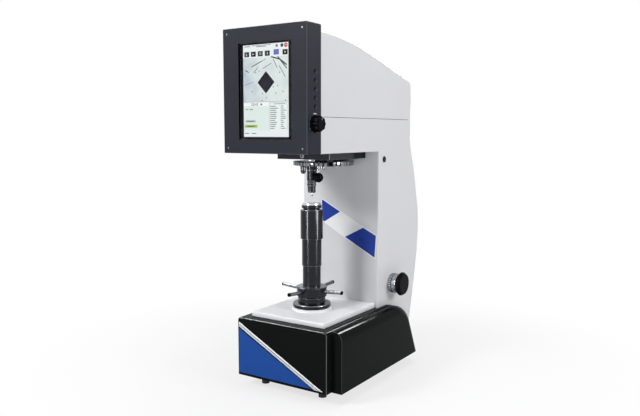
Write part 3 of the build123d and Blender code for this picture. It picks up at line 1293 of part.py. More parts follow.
with BuildPart() as bezel_screws:
    with BuildSketch(facing_front(HEAD_FRONT_Y + BEZEL_SCREW_SINK)):
        with Locations(*screw_places):
            Circle(BEZEL_SCREW_DIAMETER / 2)
    extrude(amount=BEZEL_SCREW_HEAD)
save(bezel_screws.part, "bezel_screws")

board_back_y = ARM_FRONT_Y - HEAD_WALL
board_height = HEAD_BOTTOM + BOARD_RISE

with BuildPart() as control_board:
    with BuildSketch(facing_front(board_back_y - BOARD_STANDOFF)):
        with Locations((0, board_height)):
            Rectangle(*BOARD_SIZE)
    extrude(amount=BOARD_THICKNESS)
    with BuildSketch(facing_front(board_back_y)):
        with Locations((0, board_height)):
            with GridLocations(BOARD_SIZE[0] - 2 * STANDOFF_INSET, BOARD_SIZE[1] - 2 * STANDOFF_INSET, 2, 2):
                Circle(STANDOFF_DIAMETER / 2)
    extrude(amount=BOARD_STANDOFF)
    with BuildSketch(facing_front(board_back_y - BOARD_STANDOFF - BOARD_THICKNESS)):
        with Locations((0, board_height)):
            with GridLocations(*CHIP_SPACING, 2, 2):
                Rectangle(CHIP_SIZE, CHIP_SIZE)
    extrude(amount=CHIP_HEIGHT)
save(control_board.part, "control_board")

for number, (y, height) in enumerate(button_places, start=1):
    with BuildPart() as side_button:
        with BuildSketch(side(HEAD_SIDE_X + BUTTON_PROUD - BUTTON_LENGTH)):
            with Locations((y, height)):
                Circle(BUTTON_DIAMETER / 2)
        extrude(amount=BUTTON_LENGTH)
        fillet(side_button.faces().sort_by(Axis.X)[-1].edges(), BUTTON_EDGE)
        # A flange inside the shell keeps the button in.
        with BuildSketch(side(HEAD_SIDE_X - HEAD_WALL - SEAT_GAP)):
            with Locations((y, height)):
                Circle(BUTTON_FLANGE_DIAMETER / 2)
        extrude(amount=-BUTTON_FLANGE)
    save(side_button.part, f"side_button_{number}")

with BuildPart() as brightness_knob:
    with BuildSketch(side(HEAD_SIDE_X + SEAT_GAP)):
        with Locations(brightness_place):
            Circle(BRIGHTNESS_DIAMETER / 2)
    extrude(amount=BRIGHTNESS_LENGTH, taper=BRIGHTNESS_TAPER)
    fillet(brightness_knob.faces().sort_by(Axis.X)[-1].edges(), BRIGHTNESS_EDGE)
    with BuildSketch(side(HEAD_SIDE_X - HEAD_WALL - BRIGHTNESS_SHAFT)):
        with Locations(brightness_place):
            Circle(BRIGHTNESS_SHAFT_DIAMETER / 2)
    extrude(amount=HEAD_WALL + BRIGHTNESS_SHAFT + SEAT_GAP)
save(brightness_knob.part, "brightness_knob")


# ================================ optics and electrics ====================================
tube_top = COVER_SEAM + TUBE_RISE

with BuildPart() as optical_tube:
    bridge_top = LEVER_TOP + BRIDGE_RISE
    for x in (-BRIDGE_WIDTH / 2, BRIDGE_WIDTH / 2 - BRIDGE_LEG):
        with BuildSketch(side(x)):
            with Locations((SCREW_AXIS_Y, (ARM_FLOOR + bridge_top) / 2)):
                Rectangle(BRIDGE_DEPTH, bridge_top - ARM_FLOOR)
        extrude(amount=BRIDGE_LEG)
    with BuildSketch(level(bridge_top, 0, SCREW_AXIS_Y)):
        Rectangle(BRIDGE_WIDTH, BRIDGE_DEPTH)
    extrude(amount=BRIDGE_LEG)
    tube(bridge_top, tube_top, TUBE_DIAMETER, None)
    with BuildSketch(level(bridge_top, 0, SCREW_AXIS_Y)):
        Circle(TUBE_BORE / 2)
    extrude(amount=tube_top - bridge_top, mode=Mode.SUBTRACT)
save(optical_tube.part, "optical_tube")

with BuildPart() as camera:
    with BuildSketch(level(tube_top, 0, SCREW_AXIS_Y)):
        RectangleRounded(CAMERA_SIZE, CAMERA_SIZE, CAMERA_EDGE)
    extrude(amount=CAMERA_HEIGHT)
save(camera.part, "camera")

socket_height = INLET_CENTRE_HEIGHT - SOCKET_BELOW
rocker_height = INLET_CENTRE_HEIGHT + ROCKER_ABOVE

with BuildPart() as mains_inlet:
    with BuildSketch(side(-BASE_SIDE_X)):
        with Locations((INLET_Y, INLET_CENTRE_HEIGHT)):
            RectangleRounded(INLET_WIDTH - SEAT_GAP, INLET_HEIGHT - SEAT_GAP, INLET_CORNER)
    extrude(amount=INLET_DEPTH)
    # The socket for the cord and, above it, the well for the rocker.
    with BuildSketch(side(-BASE_SIDE_X)):
        with Locations((INLET_Y, socket_height)):
            RectangleRounded(*SOCKET_SIZE, SOCKET_CORNER)
        with Locations((INLET_Y, rocker_height)):
            Rectangle(ROCKER_WIDTH + 2 * ROCKER_WELL_GAP[0], ROCKER_HEIGHT + 2 * ROCKER_WELL_GAP[1])
    extrude(amount=SOCKET_DEPTH, mode=Mode.SUBTRACT)
    with BuildSketch(side(-BASE_SIDE_X + SOCKET_DEPTH)):
        for offset, rise in ((-BLADE_PITCH, 0), (0, BLADE_EARTH_RISE), (BLADE_PITCH, 0)):
            with Locations((INLET_Y + offset, socket_height + rise)):
                Rectangle(BLADE_SIZE[0], BLADE_SIZE[1])
    extrude(amount=-BLADE_SIZE[2])
    with BuildSketch(facing_front(INLET_Y)):
        with Locations((-BASE_SIDE_X + ROCKER_PIVOT_DEPTH, rocker_height)):
            Circle((TRUNNION[0] + SEAT_GAP) / 2)
    extrude(amount=ROCKER_WIDTH / 2 + TRUNNION[1] + SEAT_GAP, both=True, mode=Mode.SUBTRACT)
save(mains_inlet.part, "mains_inlet")

with BuildPart() as power_switch:
    lean = radians(ROCKER_TILT)
    pivot = at(-BASE_SIDE_X + ROCKER_PIVOT_DEPTH, INLET_Y + ROCKER_WIDTH / 2, rocker_height)
    with BuildSketch(Plane(origin=pivot, x_dir=(cos(lean), 0, sin(lean)), z_dir=(0, -1, 0))):
        with BuildLine():
            Polyline(
                (ROCKER_BACK, -ROCKER_BACK_HEIGHT / 2),
                (ROCKER_BACK, ROCKER_BACK_HEIGHT / 2),
                (-ROCKER_FACE, ROCKER_HEIGHT / 2),
                (ROCKER_DISH - ROCKER_FACE, 0),
                (-ROCKER_FACE, -ROCKER_HEIGHT / 2),
                close=True,
            )
        make_face()
    extrude(amount=ROCKER_WIDTH)
    with BuildSketch(facing_front(INLET_Y)):
        with Locations((-BASE_SIDE_X + ROCKER_PIVOT_DEPTH, rocker_height)):
            Circle(TRUNNION[0] / 2)
    extrude(amount=ROCKER_WIDTH / 2 + TRUNNION[1], both=True)
save(power_switch.part, "power_switch")

with BuildPart() as power_supply:
    with BuildSketch(level(BASE_PLATE, *SUPPLY_CENTRE)):
        Rectangle(SUPPLY_SIZE[0], SUPPLY_SIZE[1])
    extrude(amount=SUPPLY_SIZE[2])
save(power_supply.part, "power_supply")
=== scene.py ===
"""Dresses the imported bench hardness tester: its finishes, its fine pieces, the studio and the camera."""

import logging
from collections.abc import Callable, Iterable, Sequence
from dataclasses import dataclass
from enum import Enum
from math import atan, cos, hypot, pi, radians, sin
from typing import ClassVar

import bmesh
import bpy
from mathutils import Matrix, Vector


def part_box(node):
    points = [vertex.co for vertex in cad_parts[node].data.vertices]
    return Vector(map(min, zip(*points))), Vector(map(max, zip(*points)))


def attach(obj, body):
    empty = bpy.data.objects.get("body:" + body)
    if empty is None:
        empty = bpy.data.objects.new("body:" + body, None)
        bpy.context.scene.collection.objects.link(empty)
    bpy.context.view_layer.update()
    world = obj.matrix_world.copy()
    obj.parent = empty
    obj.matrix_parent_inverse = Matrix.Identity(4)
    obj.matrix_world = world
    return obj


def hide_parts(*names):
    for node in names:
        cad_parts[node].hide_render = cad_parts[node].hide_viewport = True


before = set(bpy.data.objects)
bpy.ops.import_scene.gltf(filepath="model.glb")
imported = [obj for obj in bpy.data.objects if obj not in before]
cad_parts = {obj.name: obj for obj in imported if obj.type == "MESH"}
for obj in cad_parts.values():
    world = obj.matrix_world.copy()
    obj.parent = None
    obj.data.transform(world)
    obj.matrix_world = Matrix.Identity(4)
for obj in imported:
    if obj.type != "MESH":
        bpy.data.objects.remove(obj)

LOG = logging.getLogger("hardness_tester")
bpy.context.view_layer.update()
MM = 0.001
SHARP_ANGLE = radians(32.0)

Outline = Sequence[tuple[float, float]]
Corners = list[tuple[float, float]]
Piece = bpy.types.Object
Shape = bmesh.types.BMesh
Tree = bpy.types.NodeTree
Node = bpy.types.Node
Socket = bpy.types.NodeSocket
Zone = Callable[[Vector, Vector], int]


# --- Names that the record gives ---


class Body(Enum):
    """The bodies of the tester that a piece can ride on."""

    FRAME = "frame"
    HANDWHEEL = "handwheel"
    MIDDLE_SLEEVE = "middle_sleeve"
    SCREW = "screw"
    TURRET = "turret"
    LOADING_SPINDLE = "loading_spindle"
    INDEX_PLUNGER = "index_plunger"
    LOAD_SELECTOR = "load_selector"
    BRIGHTNESS = "brightness_knob"
    POWER_SWITCH = "power_switch"
    BUTTON_1 = "button_1"
    BUTTON_2 = "button_2"
    BUTTON_3 = "button_3"
    BUTTON_4 = "button_4"
    BUTTON_5 = "button_5"


class Slot(Enum):
    """The record's material slots."""

    BLACK_GLOSS = "black_gloss"
    GREY_PAINT = "grey_paint"
    WHITE_PAINT = "white_paint"
    STEEL = "steel"
    CHROME = "chrome"
    BLACK_STEEL = "black_steel"
    CHARCOAL = "charcoal"
    BLACK_PLASTIC = "black_plastic"
    MATTE_BLACK = "matte_black"
    RUBBER = "rubber"
    GLASS = "glass"
    DISPLAY = "display"


# --- Places ---


@dataclass(frozen=True)
class Datum:
    """The tester's own zero: the screw's axis, the base's front and the base's underside."""

    x: float
    y: float
    z: float

    def at(self, x: float, y: float, h: float) -> Vector:
        """Gives a point in metres from millimetres right, back and up of the datum."""
        return Vector((self.x + x * MM, self.y + y * MM, self.z + h * MM))


def frame_datum() -> Datum:
    """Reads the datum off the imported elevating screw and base.

    Returns:
        The datum.
    """
    screw_low, screw_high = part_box("elevating_screw")
    base_low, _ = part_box("base_housing")
    return Datum((screw_low[0] + screw_high[0]) / 2, base_low[1], base_low[2])


DATUM = frame_datum()


class Facing(Enum):
    """Which way a piece looks: its own X, Y and Z, given in the tester's axes."""

    FRONT = ((1, 0, 0), (0, 0, 1), (0, -1, 0))
    RIGHT = ((0, 1, 0), (0, 0, 1), (1, 0, 0))
    UP = ((1, 0, 0), (0, 1, 0), (0, 0, 1))

    def seat(self, x: float, y: float, h: float, turn: float = 0.0) -> Matrix:
        """Gives the matrix that puts a mesh drawn in millimetres in its place.

        Args:
            x: Millimetres right of the screw's axis.
            y: Millimetres behind the base's front.
            h: Millimetres above the base's underside.
            turn: Degrees about the piece's own Z.

        Returns:
            The matrix, from the piece's millimetres to the scene's metres.
        """
        axes = Matrix(self.value).transposed().to_4x4()
        spin = Matrix.Rotation(radians(turn), 4, "Z")
        return Matrix.Translation(DATUM.at(x, y, h)) @ axes @ spin @ Matrix.Scale(MM, 4)


# --- Shader tools ---


def linear(code: str) -> tuple[float, float, float, float]:
    """Turns an sRGB hex code into the linear colour that a shader takes.

    Args:
        code: The code, with its hash.

    Returns:
        Red, green, blue and a full alpha.
    """
    parts = [int(code[i : i + 2], 16) / 255 for i in (1, 3, 5)]
    red, green, blue = (p / 12.92 if p <= 0.04045 else ((p + 0.055) / 1.055) ** 2.4 for p in parts)
    return red, green, blue, 1.0


def add_node(tree: Tree, kind: str, inputs: dict | None = None, **settings: object) -> Node:
    """Adds a node with its settings, its values and its links.

    Args:
        tree: The node tree.
        kind: The node's type name.
        inputs: For each input, by name or number: a value, a socket to link from, or a node for its first socket.
        **settings: The node's own properties.

    Returns:
        The new node.
    """
    node = tree.nodes.new(kind)
    for key, value in settings.items():
        setattr(node, key, value)
    for key, given in (inputs or {}).items():
        value = given.outputs[0] if isinstance(given, Node) else given
        if isinstance(value, Socket):
            tree.links.new(value, node.inputs[key])
        else:
            node.inputs[key].default_value = value
    return node


def per_metre(size_mm: float) -> float:
    """Gives the texture scale at which one feature is this many millimetres across."""
    return 1000.0 / size_mm


def empty_material(title: str) -> bpy.types.Material:
    """Starts a material with nothing in its node tree.

    Args:
        title: Its name.

    Returns:
        The material.
    """
    made = bpy.data.materials.new(title)
    made.use_nodes = True
    made.node_tree.nodes.clear()
    return made


@dataclass(frozen=True)
class Finish:
    """A real material with the way its surface was made.

    Args:
        title: The material's name.
        colour: Its sRGB hex code.
        roughness: The shader's roughness in the middle of its spread.
        cloud: The colour that it drifts towards in soft clouds, if it has any.
    """

    title: str
    colour: str
    roughness: float
    cloud: str = "#808080"

    def material(self) -> bpy.types.Material:
        """Makes the material once and gives it again after that.

        Returns:
            The material.
        """
        made = bpy.data.materials.get(self.title)
        if made is None:
            made = empty_material(self.title)
            made.diffuse_color = linear(self.colour)
            place = add_node(made.node_tree, "ShaderNodeTexCoord").outputs["Object"]
            surface = self.surface(made.node_tree, place)
            add_node(made.node_tree, "ShaderNodeOutputMaterial", {"Surface": surface})
        return made

    def surface(self, tree: Tree, place: Socket) -> Node:
        """Builds the shader.

        Args:
            tree: The material's node tree.
            place: The Object coordinates, in metres.

        Returns:
            The shader.
        """
        raise NotImplementedError

    def mottled(self, tree: Tree, place: Socket, size_mm: float) -> Socket:
        """Mixes the colour with the cloud's.

        Args:
            tree: The material's node tree.
            place: The Object coordinates.
            size_mm: How large the clouds are.

        Returns:
            The mixed colour.
        """
        noise = {"Vector": place, "Scale": per_metre(size_mm), "Detail": 4.0}
        tones = {0: add_node(tree, "ShaderNodeTexNoise", noise), 6: linear(self.colour), 7: linear(self.cloud)}
        return add_node(tree, "ShaderNodeMix", tones, data_type="RGBA").outputs[2]

    def uneven(self, tree: Tree, place: Socket, size_mm: float, spread: float) -> Socket:
        """Varies the roughness in patches.

        Args:
            tree: The material's node tree.
            place: The Object coordinates.
            size_mm: How large the patches are.
            spread: How far the roughness strays to each side.

        Returns:
            The roughness.
        """
        noise = {"Vector": place, "Scale": per_metre(size_mm), "Detail": 5.0}
        span = {
            "Value": add_node(tree, "ShaderNodeTexNoise", noise),
            "From Min": 0.3,
            "From Max": 0.7,
            "To Min": max(self.roughness - spread, 0.0),
            "To Max": self.roughness + spread,
        }
        return add_node(tree, "ShaderNodeMapRange", span).outputs["Result"]


@dataclass(frozen=True)
class Worked(Finish):
    """A finish with the relief that its making left.

    Args:
        specular: The shader's specular level.
        metallic: How far it is bare metal.
        grain_mm: How large one feature of the relief is.
        depth_mm: How deep the relief is.
    """

    specular: float = 0.5
    metallic: float = 0.0
    grain_mm: float = 1.0
    depth_mm: float = 0.01

    # The sizes of the clouds and of the patches, the roughness's spread, and the strength and detail of the relief.
    CLOUD_MM: ClassVar[float]
    PATCH_MM: ClassVar[float]
    SPREAD: ClassVar[float]
    RELIEF: ClassVar[float]
    DETAIL: ClassVar[float] = 2.0
    BREAK_UP: ClassVar[float] = 0.5

    def relief(self, tree: Tree, place: Socket) -> Node | Socket:
        """Makes the relief's height.

        Args:
            tree: The material's node tree.
            place: The Object coordinates.

        Returns:
            The height.
        """
        grain = {"Vector": place, "Scale": per_metre(self.grain_mm), "Detail": self.DETAIL, "Roughness": self.BREAK_UP}
        return add_node(tree, "ShaderNodeTexNoise", grain)

    def surface(self, tree: Tree, place: Socket) -> Node:
        """Puts the relief under a mottled colour and an uneven gloss.

        Args:
            tree: The material's node tree.
            place: The Object coordinates.

        Returns:
            The shader.
        """
        height = self.relief(tree, place)
        bump = {"Strength": self.RELIEF, "Distance": self.depth_mm * MM, "Height": height}
        shader = {
            "Base Color": self.mottled(tree, place, self.CLOUD_MM),
            "Metallic": self.metallic,
            "Roughness": self.uneven(tree, place, self.PATCH_MM, self.SPREAD),
            "Specular IOR Level": self.specular,
            "Normal": add_node(tree, "ShaderNodeBump", bump),
        }
        return add_node(tree, "ShaderNodeBsdfPrincipled", shader)


@dataclass(frozen=True)
class Enamel(Worked):
    """Two-pack enamel, sprayed on sheet steel and baked: an even gloss over a faint orange peel."""

    grain_mm: float = 5.0
    depth_mm: float = 0.02
    CLOUD_MM, PATCH_MM, SPREAD, RELIEF = 180.0, 40.0, 0.04, 0.5


@dataclass(frozen=True)
class PowderCoat(Worked):
    """Epoxy powder, sprayed dry and baked: a satin skin with a tight, even grain."""

    # The real grain is about 0.3 mm, so it is drawn four times as coarse to show at all.
    grain_mm: float = 1.4
    depth_mm: float = 0.04
    CLOUD_MM, PATCH_MM, SPREAD, RELIEF = 120.0, 25.0, 0.05, 0.45

    def relief(self, tree: Tree, place: Socket) -> Node | Socket:
        """Makes the grain's rounded cells."""
        cells = {"Vector": place, "Scale": per_metre(self.grain_mm)}
        return add_node(tree, "ShaderNodeTexVoronoi", cells, feature="SMOOTH_F1").outputs["Distance"]


class Lay(Enum):
    """The axis along which a tool moved as it cut a metal surface."""

    ALONG_X = "X"
    ALONG_Z = "Z"


@dataclass(frozen=True)
class TurnedMetal(Worked):
    """Metal turned on a lathe, bright or blackened: fine rings across the axis, one for each feed of the tool."""

    metallic: float = 1.0
    # The real feed is near 0.1 mm, so the rings are drawn about ten times as far apart to show.
    grain_mm: float = 1.2
    depth_mm: float = 0.006
    lay: Lay = Lay.ALONG_Z
    CLOUD_MM, PATCH_MM, SPREAD, RELIEF = 30.0, 12.0, 0.05, 0.6

    def relief(self, tree: Tree, place: Socket) -> Node | Socket:
        """Makes the rings that the tool left.

        Args:
            tree: The material's node tree.
            place: The Object coordinates.

        Returns:
            The height.
        """
        # At a scale of 1 this texture has a ring each 2 pi / 20 of a unit.
        scale = 2 * pi / 20 * per_metre(self.grain_mm)
        rings = {"Vector": place, "Scale": scale, "Distortion": 0.6, "Detail": 2.0}
        settings = {"wave_type": "BANDS", "bands_direction": self.lay.value}
        return add_node(tree, "ShaderNodeTexWave", rings, **settings).outputs[1]


@dataclass(frozen=True)
class CastMetal(Worked):
    """Metal as it left a sand mould: pitted at the size of the sand's clumps, with darker hollows."""

    metallic: float = 0.8
    grain_mm: float = 2.2
    depth_mm: float = 0.25
    CLOUD_MM, PATCH_MM, SPREAD, RELIEF, DETAIL, BREAK_UP = 9.0, 6.0, 0.1, 0.7, 6.0, 0.65


@dataclass(frozen=True)
class MouldedPlastic(Worked):
    """Plastic or rubber from a steel mould: the mould's own polish or its spark-eroded grain."""

    grain_mm: float = 0.9
    CLOUD_MM, PATCH_MM, SPREAD, RELIEF, DETAIL = 15.0, 8.0, 0.06, 0.5, 3.0


@dataclass(frozen=True)
class ClearGlass(Finish):
    """Float glass, cut and polished: clear, with faint smears where fingers touch it."""

    def surface(self, tree: Tree, place: Socket) -> Node:
        """Lets light straight through and leaves the smears to the roughness.

        Args:
            tree: The material's node tree.
            place: The Object coordinates.

        Returns:
            The shader.
        """
        shader = {
            "Base Color": linear(self.colour),
            "Roughness": self.uneven(tree, place, 18.0, 0.01),
            "IOR": 1.12,
            "Transmission Weight": 1.0,
            "Specular IOR Level": 0.3,
        }
        return add_node(tree, "ShaderNodeBsdfPrincipled", shader)


@dataclass(frozen=True)
class LitPixels(Finish):
    """One colour of a back-lit liquid-crystal panel, a little uneven where the light guide is."""

    CLOUD_MM: ClassVar[float] = 60.0
    STRENGTH: ClassVar[float] = 0.92

    def glow(self, tree: Tree, place: Socket) -> Socket:
        """Gives the colour of the light."""
        return self.mottled(tree, place, self.CLOUD_MM)

    def surface(self, tree: Tree, place: Socket) -> Node:
        """Shines with its own colour and adds almost no reflection.

        Args:
            tree: The material's node tree.
            place: The Object coordinates.

        Returns:
            The shader.
        """
        shader = {
            "Base Color": linear("#050505"),
            "Roughness": self.roughness,
            "Specular IOR Level": 0.1,
            "Emission Color": self.glow(tree, place),
            "Emission Strength": self.STRENGTH,
        }
        return add_node(tree, "ShaderNodeBsdfPrincipled", shader)


@dataclass(frozen=True)
class LitSpecimen(LitPixels):
    """The panel's picture of polished metal: pale in the middle, bluer towards its left, in soft clouds.

    Args:
        left: Where the picture's left edge is, in metres.
    """

    left: float = 0.0

    CLOUD_MM: ClassVar[float] = 30.0
    SPAN_MM: ClassVar[float] = 62.0

    def glow(self, tree: Tree, place: Socket) -> Socket:
        """Shades from the left edge inwards and breaks the shade up with clouds.

        Args:
            tree: The material's node tree.
            place: The Object coordinates.

        Returns:
            The colour of the light.
        """
        palest, contrast, shift = 0.62, 1.5, -0.42
        across = add_node(tree, "ShaderNodeSeparateXYZ", {0: place}).outputs["X"]
        span = {"Value": across, "From Min": self.left, "From Max": self.left + self.SPAN_MM * MM, "To Max": palest}
        inwards = add_node(tree, "ShaderNodeMapRange", span)
        noise = {"Vector": place, "Scale": per_metre(self.CLOUD_MM), "Detail": 5.0}
        clouds = add_node(tree, "ShaderNodeTexNoise", noise)
        lift = add_node(tree, "ShaderNodeMath", {0: clouds, 1: contrast, 2: shift}, operation="MULTIPLY_ADD")
        shade = add_node(tree, "ShaderNodeMath", {0: inwards, 1: lift}, operation="ADD", use_clamp=True)
        tones = {0: shade, 6: linear(self.cloud), 7: linear(self.colour)}
        return add_node(tree, "ShaderNodeMix", tones, data_type="RGBA").outputs[2]


def lit(name: str, colour: str, cloud: str = "") -> LitPixels:
    """Gives one of the panel's plain colours."""
    return LitPixels(f"lit_{name}_pixels", colour, 0.4, cloud or colour)


# Sheet-metal enclosures: light grey gloss enamel, sprayed and baked. It reads as a clean, barely mottled grey.
GREY_ENAMEL = Enamel("light_grey_enamel_sprayed", "#DADADC", 0.36, "#D4D4D7", specular=0.25, depth_mm=0.012)
# The same enamel a shade whiter on the softened edges, as a painted highlight.
GREY_ENAMEL_PAINTED_HIGHLIGHT = Enamel("light_grey_enamel_painted_edge_highlight", "#F6F6F7", 0.3, "#EFEFF1", specular=0.3, depth_mm=0.01)
# The platform plate: ground cast iron under white enamel, a touch glossier and whiter than the column.
WHITE_ENAMEL = Enamel("white_enamel_sprayed", "#F1F2F4", 0.4, "#EDEEF0", specular=0.25, grain_mm=7.0, depth_mm=0.01)
# The base and its fairing: piano-black enamel, polished, so its long rounds carry bright streaks.
BLACK_ENAMEL = Enamel("black_enamel_polished", "#0F1111", 0.12, "#141616", specular=0.022, grain_mm=9.0, depth_mm=0.015)
# The same enamel lighter on the corners and the bend above the front, as a painted highlight.
BLACK_ENAMEL_PAINTED_HIGHLIGHT = Enamel("black_enamel_painted_edge_highlight", "#5A5C5F", 0.2, "#3E4042", depth_mm=0.01)
# The display head: charcoal epoxy powder coat with a slight blue cast.
CHARCOAL_POWDER = PowderCoat("charcoal_powder_coat", "#2B2E37", 0.42, "#26282F", specular=0.06)
# The same coat lighter on the bezel's rounded edges, as a painted highlight.
CHARCOAL_PAINTED_HIGHLIGHT = PowderCoat("charcoal_powder_painted_edge_highlight", "#565963", 0.42, "#474A53", specular=0.1)
# Screw sleeves, hub and turret: steel turned and hot-blacked, dark with a soft bright streak down each cylinder.
BLACKED_STEEL = TurnedMetal("turned_steel_hot_blacked", "#2D2E33", 0.19, "#26272B", metallic=0.9, depth_mm=0.0015)
# The thin chamfers of the blacked pieces, rubbed back towards bare steel by handling and lighter still as a painted
# highlight.
RUBBED_EDGE_AND_PAINTED_HIGHLIGHT = TurnedMetal("blacked_steel_rubbed_and_painted_highlight", "#8C8E92", 0.3, "#6C6E72", grain_mm=2.0)
# Both of them together, for the skins whose softened edges are rubbed and carry the painted highlight.
BLACKED = (BLACKED_STEEL, RUBBED_EDGE_AND_PAINTED_HIGHLIGHT)
# The anvil, indenter and pins: hardened steel, ground bright.
GROUND_STEEL = TurnedMetal("hardened_steel_ground", "#C9CCD0", 0.22, "#B5B9BE", grain_mm=0.8)
# Spokes: chromed bar, polished along its length, with the cold grey shine of hard chrome.
CHROMED_BAR = TurnedMetal("chromed_steel_bar_polished", "#8C8F94", 0.16, "#777A7F", grain_mm=3.0, depth_mm=0.002)
# Dial, bushing and selector ring: chromed and turned about the knob's axis, so the rings sparkle.
CHROMED_DIAL = TurnedMetal(
    "chromed_brass_turned", "#CDD0D4", 0.2, "#B9BDC2", grain_mm=1.6, depth_mm=0.01, lay=Lay.ALONG_X
)
# Weights, screw guide and lever: grey cast iron, dull and pitted.
CAST_IRON = CastMetal("grey_iron_cast", "#4A4B4E", 0.6, "#35363A")
# The lift nut: bearing bronze, bored and turned, with a warm satin shine.
BEARING_BRONZE = TurnedMetal("bearing_bronze_turned", "#B08A4E", 0.3, "#94713B")
# Knob and ball grips: phenolic resin, moulded and buffed to a deep gloss.
PHENOLIC = MouldedPlastic("black_phenolic_moulded", "#0B0A0D", 0.16, "#100F12", specular=0.022, grain_mm=3.0)
# Buttons, inlet and plug: ABS from a fine spark-eroded mould, matt black.
BLACK_ABS = MouldedPlastic("black_abs_moulded", "#121315", 0.42, "#191A1C", specular=0.1, depth_mm=0.03)
# Feet: nitrile rubber, pressed, dull with a bloom.
NITRILE = MouldedPlastic("nitrile_rubber_pressed", "#1A1A1B", 0.7, "#262627", specular=0.3, depth_mm=0.08)
# The colour bands: cast vinyl film, cut and laid on the enamel, with a thin gloss.
FILM = {"grain_mm": 12.0, "depth_mm": 0.01}
BLUE_VINYL = Enamel("blue_vinyl_film_cast", "#2442A2", 0.3, "#213D99", specular=0.1, **FILM)
ROYAL_VINYL = Enamel("royal_blue_vinyl_film_cast", "#184A99", 0.3, "#174592", specular=0.1, **FILM)
WHITE_VINYL = Enamel("white_vinyl_film_cast", "#F4F5F6", 0.35, "#EBEDEE", specular=0.3, **FILM)
SILVER_VINYL = Enamel("silver_vinyl_film_cast", "#B9BDC2", 0.3, "#D2D5D9", **FILM)
# Marks on the head and the dial: screen-printing ink, fired dull.
PRINT_INK = Enamel("white_ink_screen_printed", "#C9CCD2", 0.55, "#B4B8BE", specular=0.2, grain_mm=2.0)
# The black ink also fills the gaps beside the selector's dial, as painted shade.
BLACK_INK_AND_PAINTED_SHADE = Enamel("black_ink_printed_and_painted_shade", "#101113", 0.5, "#17181A", specular=0.15, grain_mm=2.0)
# The cover glass, clear and flat, and the black border printed on its back.
COVER_GLASS = ClearGlass("float_glass_polished", "#FFFFFF", 0.02)
MASK_INK = Enamel("black_border_ink_on_glass", "#08090B", 0.25, "#0C0D10", specular=0.1, grain_mm=20.0)
# Circuit board: glass epoxy under green solder mask, a satin green.
SOLDER_MASK = PowderCoat("green_solder_mask_on_glass_epoxy", "#1E5A34", 0.4, "#174A2A", specular=0.4)


# --- Mesh tools ---


def linked(title: str, shape: Shape, finishes: Iterable[Finish] = ()) -> Piece:
    """Makes an object of a shape and puts it in the scene.

    Args:
        title: The object's name.
        shape: The shape, which is freed.
        finishes: The finishes of its material slots.

    Returns:
        The object.
    """
    mesh = bpy.data.meshes.new(title)
    shape.to_mesh(mesh)
    shape.free()
    for finish in finishes:
        mesh.materials.append(finish.material())
    made = bpy.data.objects.new(title, mesh)
    bpy.context.scene.collection.objects.link(made)
    return made


def as_piece(title: str, shape: Shape, seat: Matrix, finish: Finish) -> Piece:
    """Turns a shape drawn in millimetres into a piece at the origin, with its place in its mesh.

    Args:
        title: The piece's name.
        shape: The shape, which is freed.
        seat: The matrix to the scene's metres.
        finish: Its finish.

    Returns:
        The piece.
    """
    bmesh.ops.recalc_face_normals(shape, faces=shape.faces)
    shape.transform(seat)
    return linked(title, shape, [finish])


def hand_over(piece: Piece, body: Body, slot: Slot, *nodes: str) -> None:
    """Seats a finished piece on its body.

    Args:
        piece: The piece.
        body: The body that it rides on.
        slot: The record's slot for its finish; not used.
        *nodes: The CAD nodes that it stands for.
    """
    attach(piece, body.value)
    if nodes:
        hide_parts(*nodes)
    LOG.info("%s on %s: %d faces", piece.name, body.value, len(piece.data.polygons))


def settled(piece: Piece) -> Piece:
    """Bakes a piece's modifiers into its mesh and takes them off.

    Args:
        piece: The piece.

    Returns:
        The same piece.
    """
    graph = bpy.context.evaluated_depsgraph_get()
    whole = piece.evaluated_get(graph)
    mesh = bpy.data.meshes.new_from_object(whole, preserve_all_data_layers=True, depsgraph=graph)
    piece.modifiers.clear()
    piece.data = mesh
    return piece


def plates(title: str, outlines: Iterable[Outline], low: float, high: float, seat: Matrix, finish: Finish) -> Piece:
    """Makes thin flat plates with the given outlines.

    Args:
        title: The piece's name.
        outlines: The outlines, in millimetres.
        low: Where each plate starts along its own Z.
        high: Where it ends.
        seat: The matrix to the scene's metres.
        finish: Its finish.

    Returns:
        The piece.
    """
    shape = bmesh.new()
    for outline in outlines:
        under = [shape.verts.new((a, b, low)) for a, b in outline]
        over = [shape.verts.new((a, b, high)) for a, b in outline]
        shape.faces.new(under[::-1])
        shape.faces.new(over)
        for i, vert in enumerate(under):
            after = (i + 1) % len(under)
            shape.faces.new((vert, under[after], over[after], over[i]))
    return as_piece(title, shape, seat, finish)


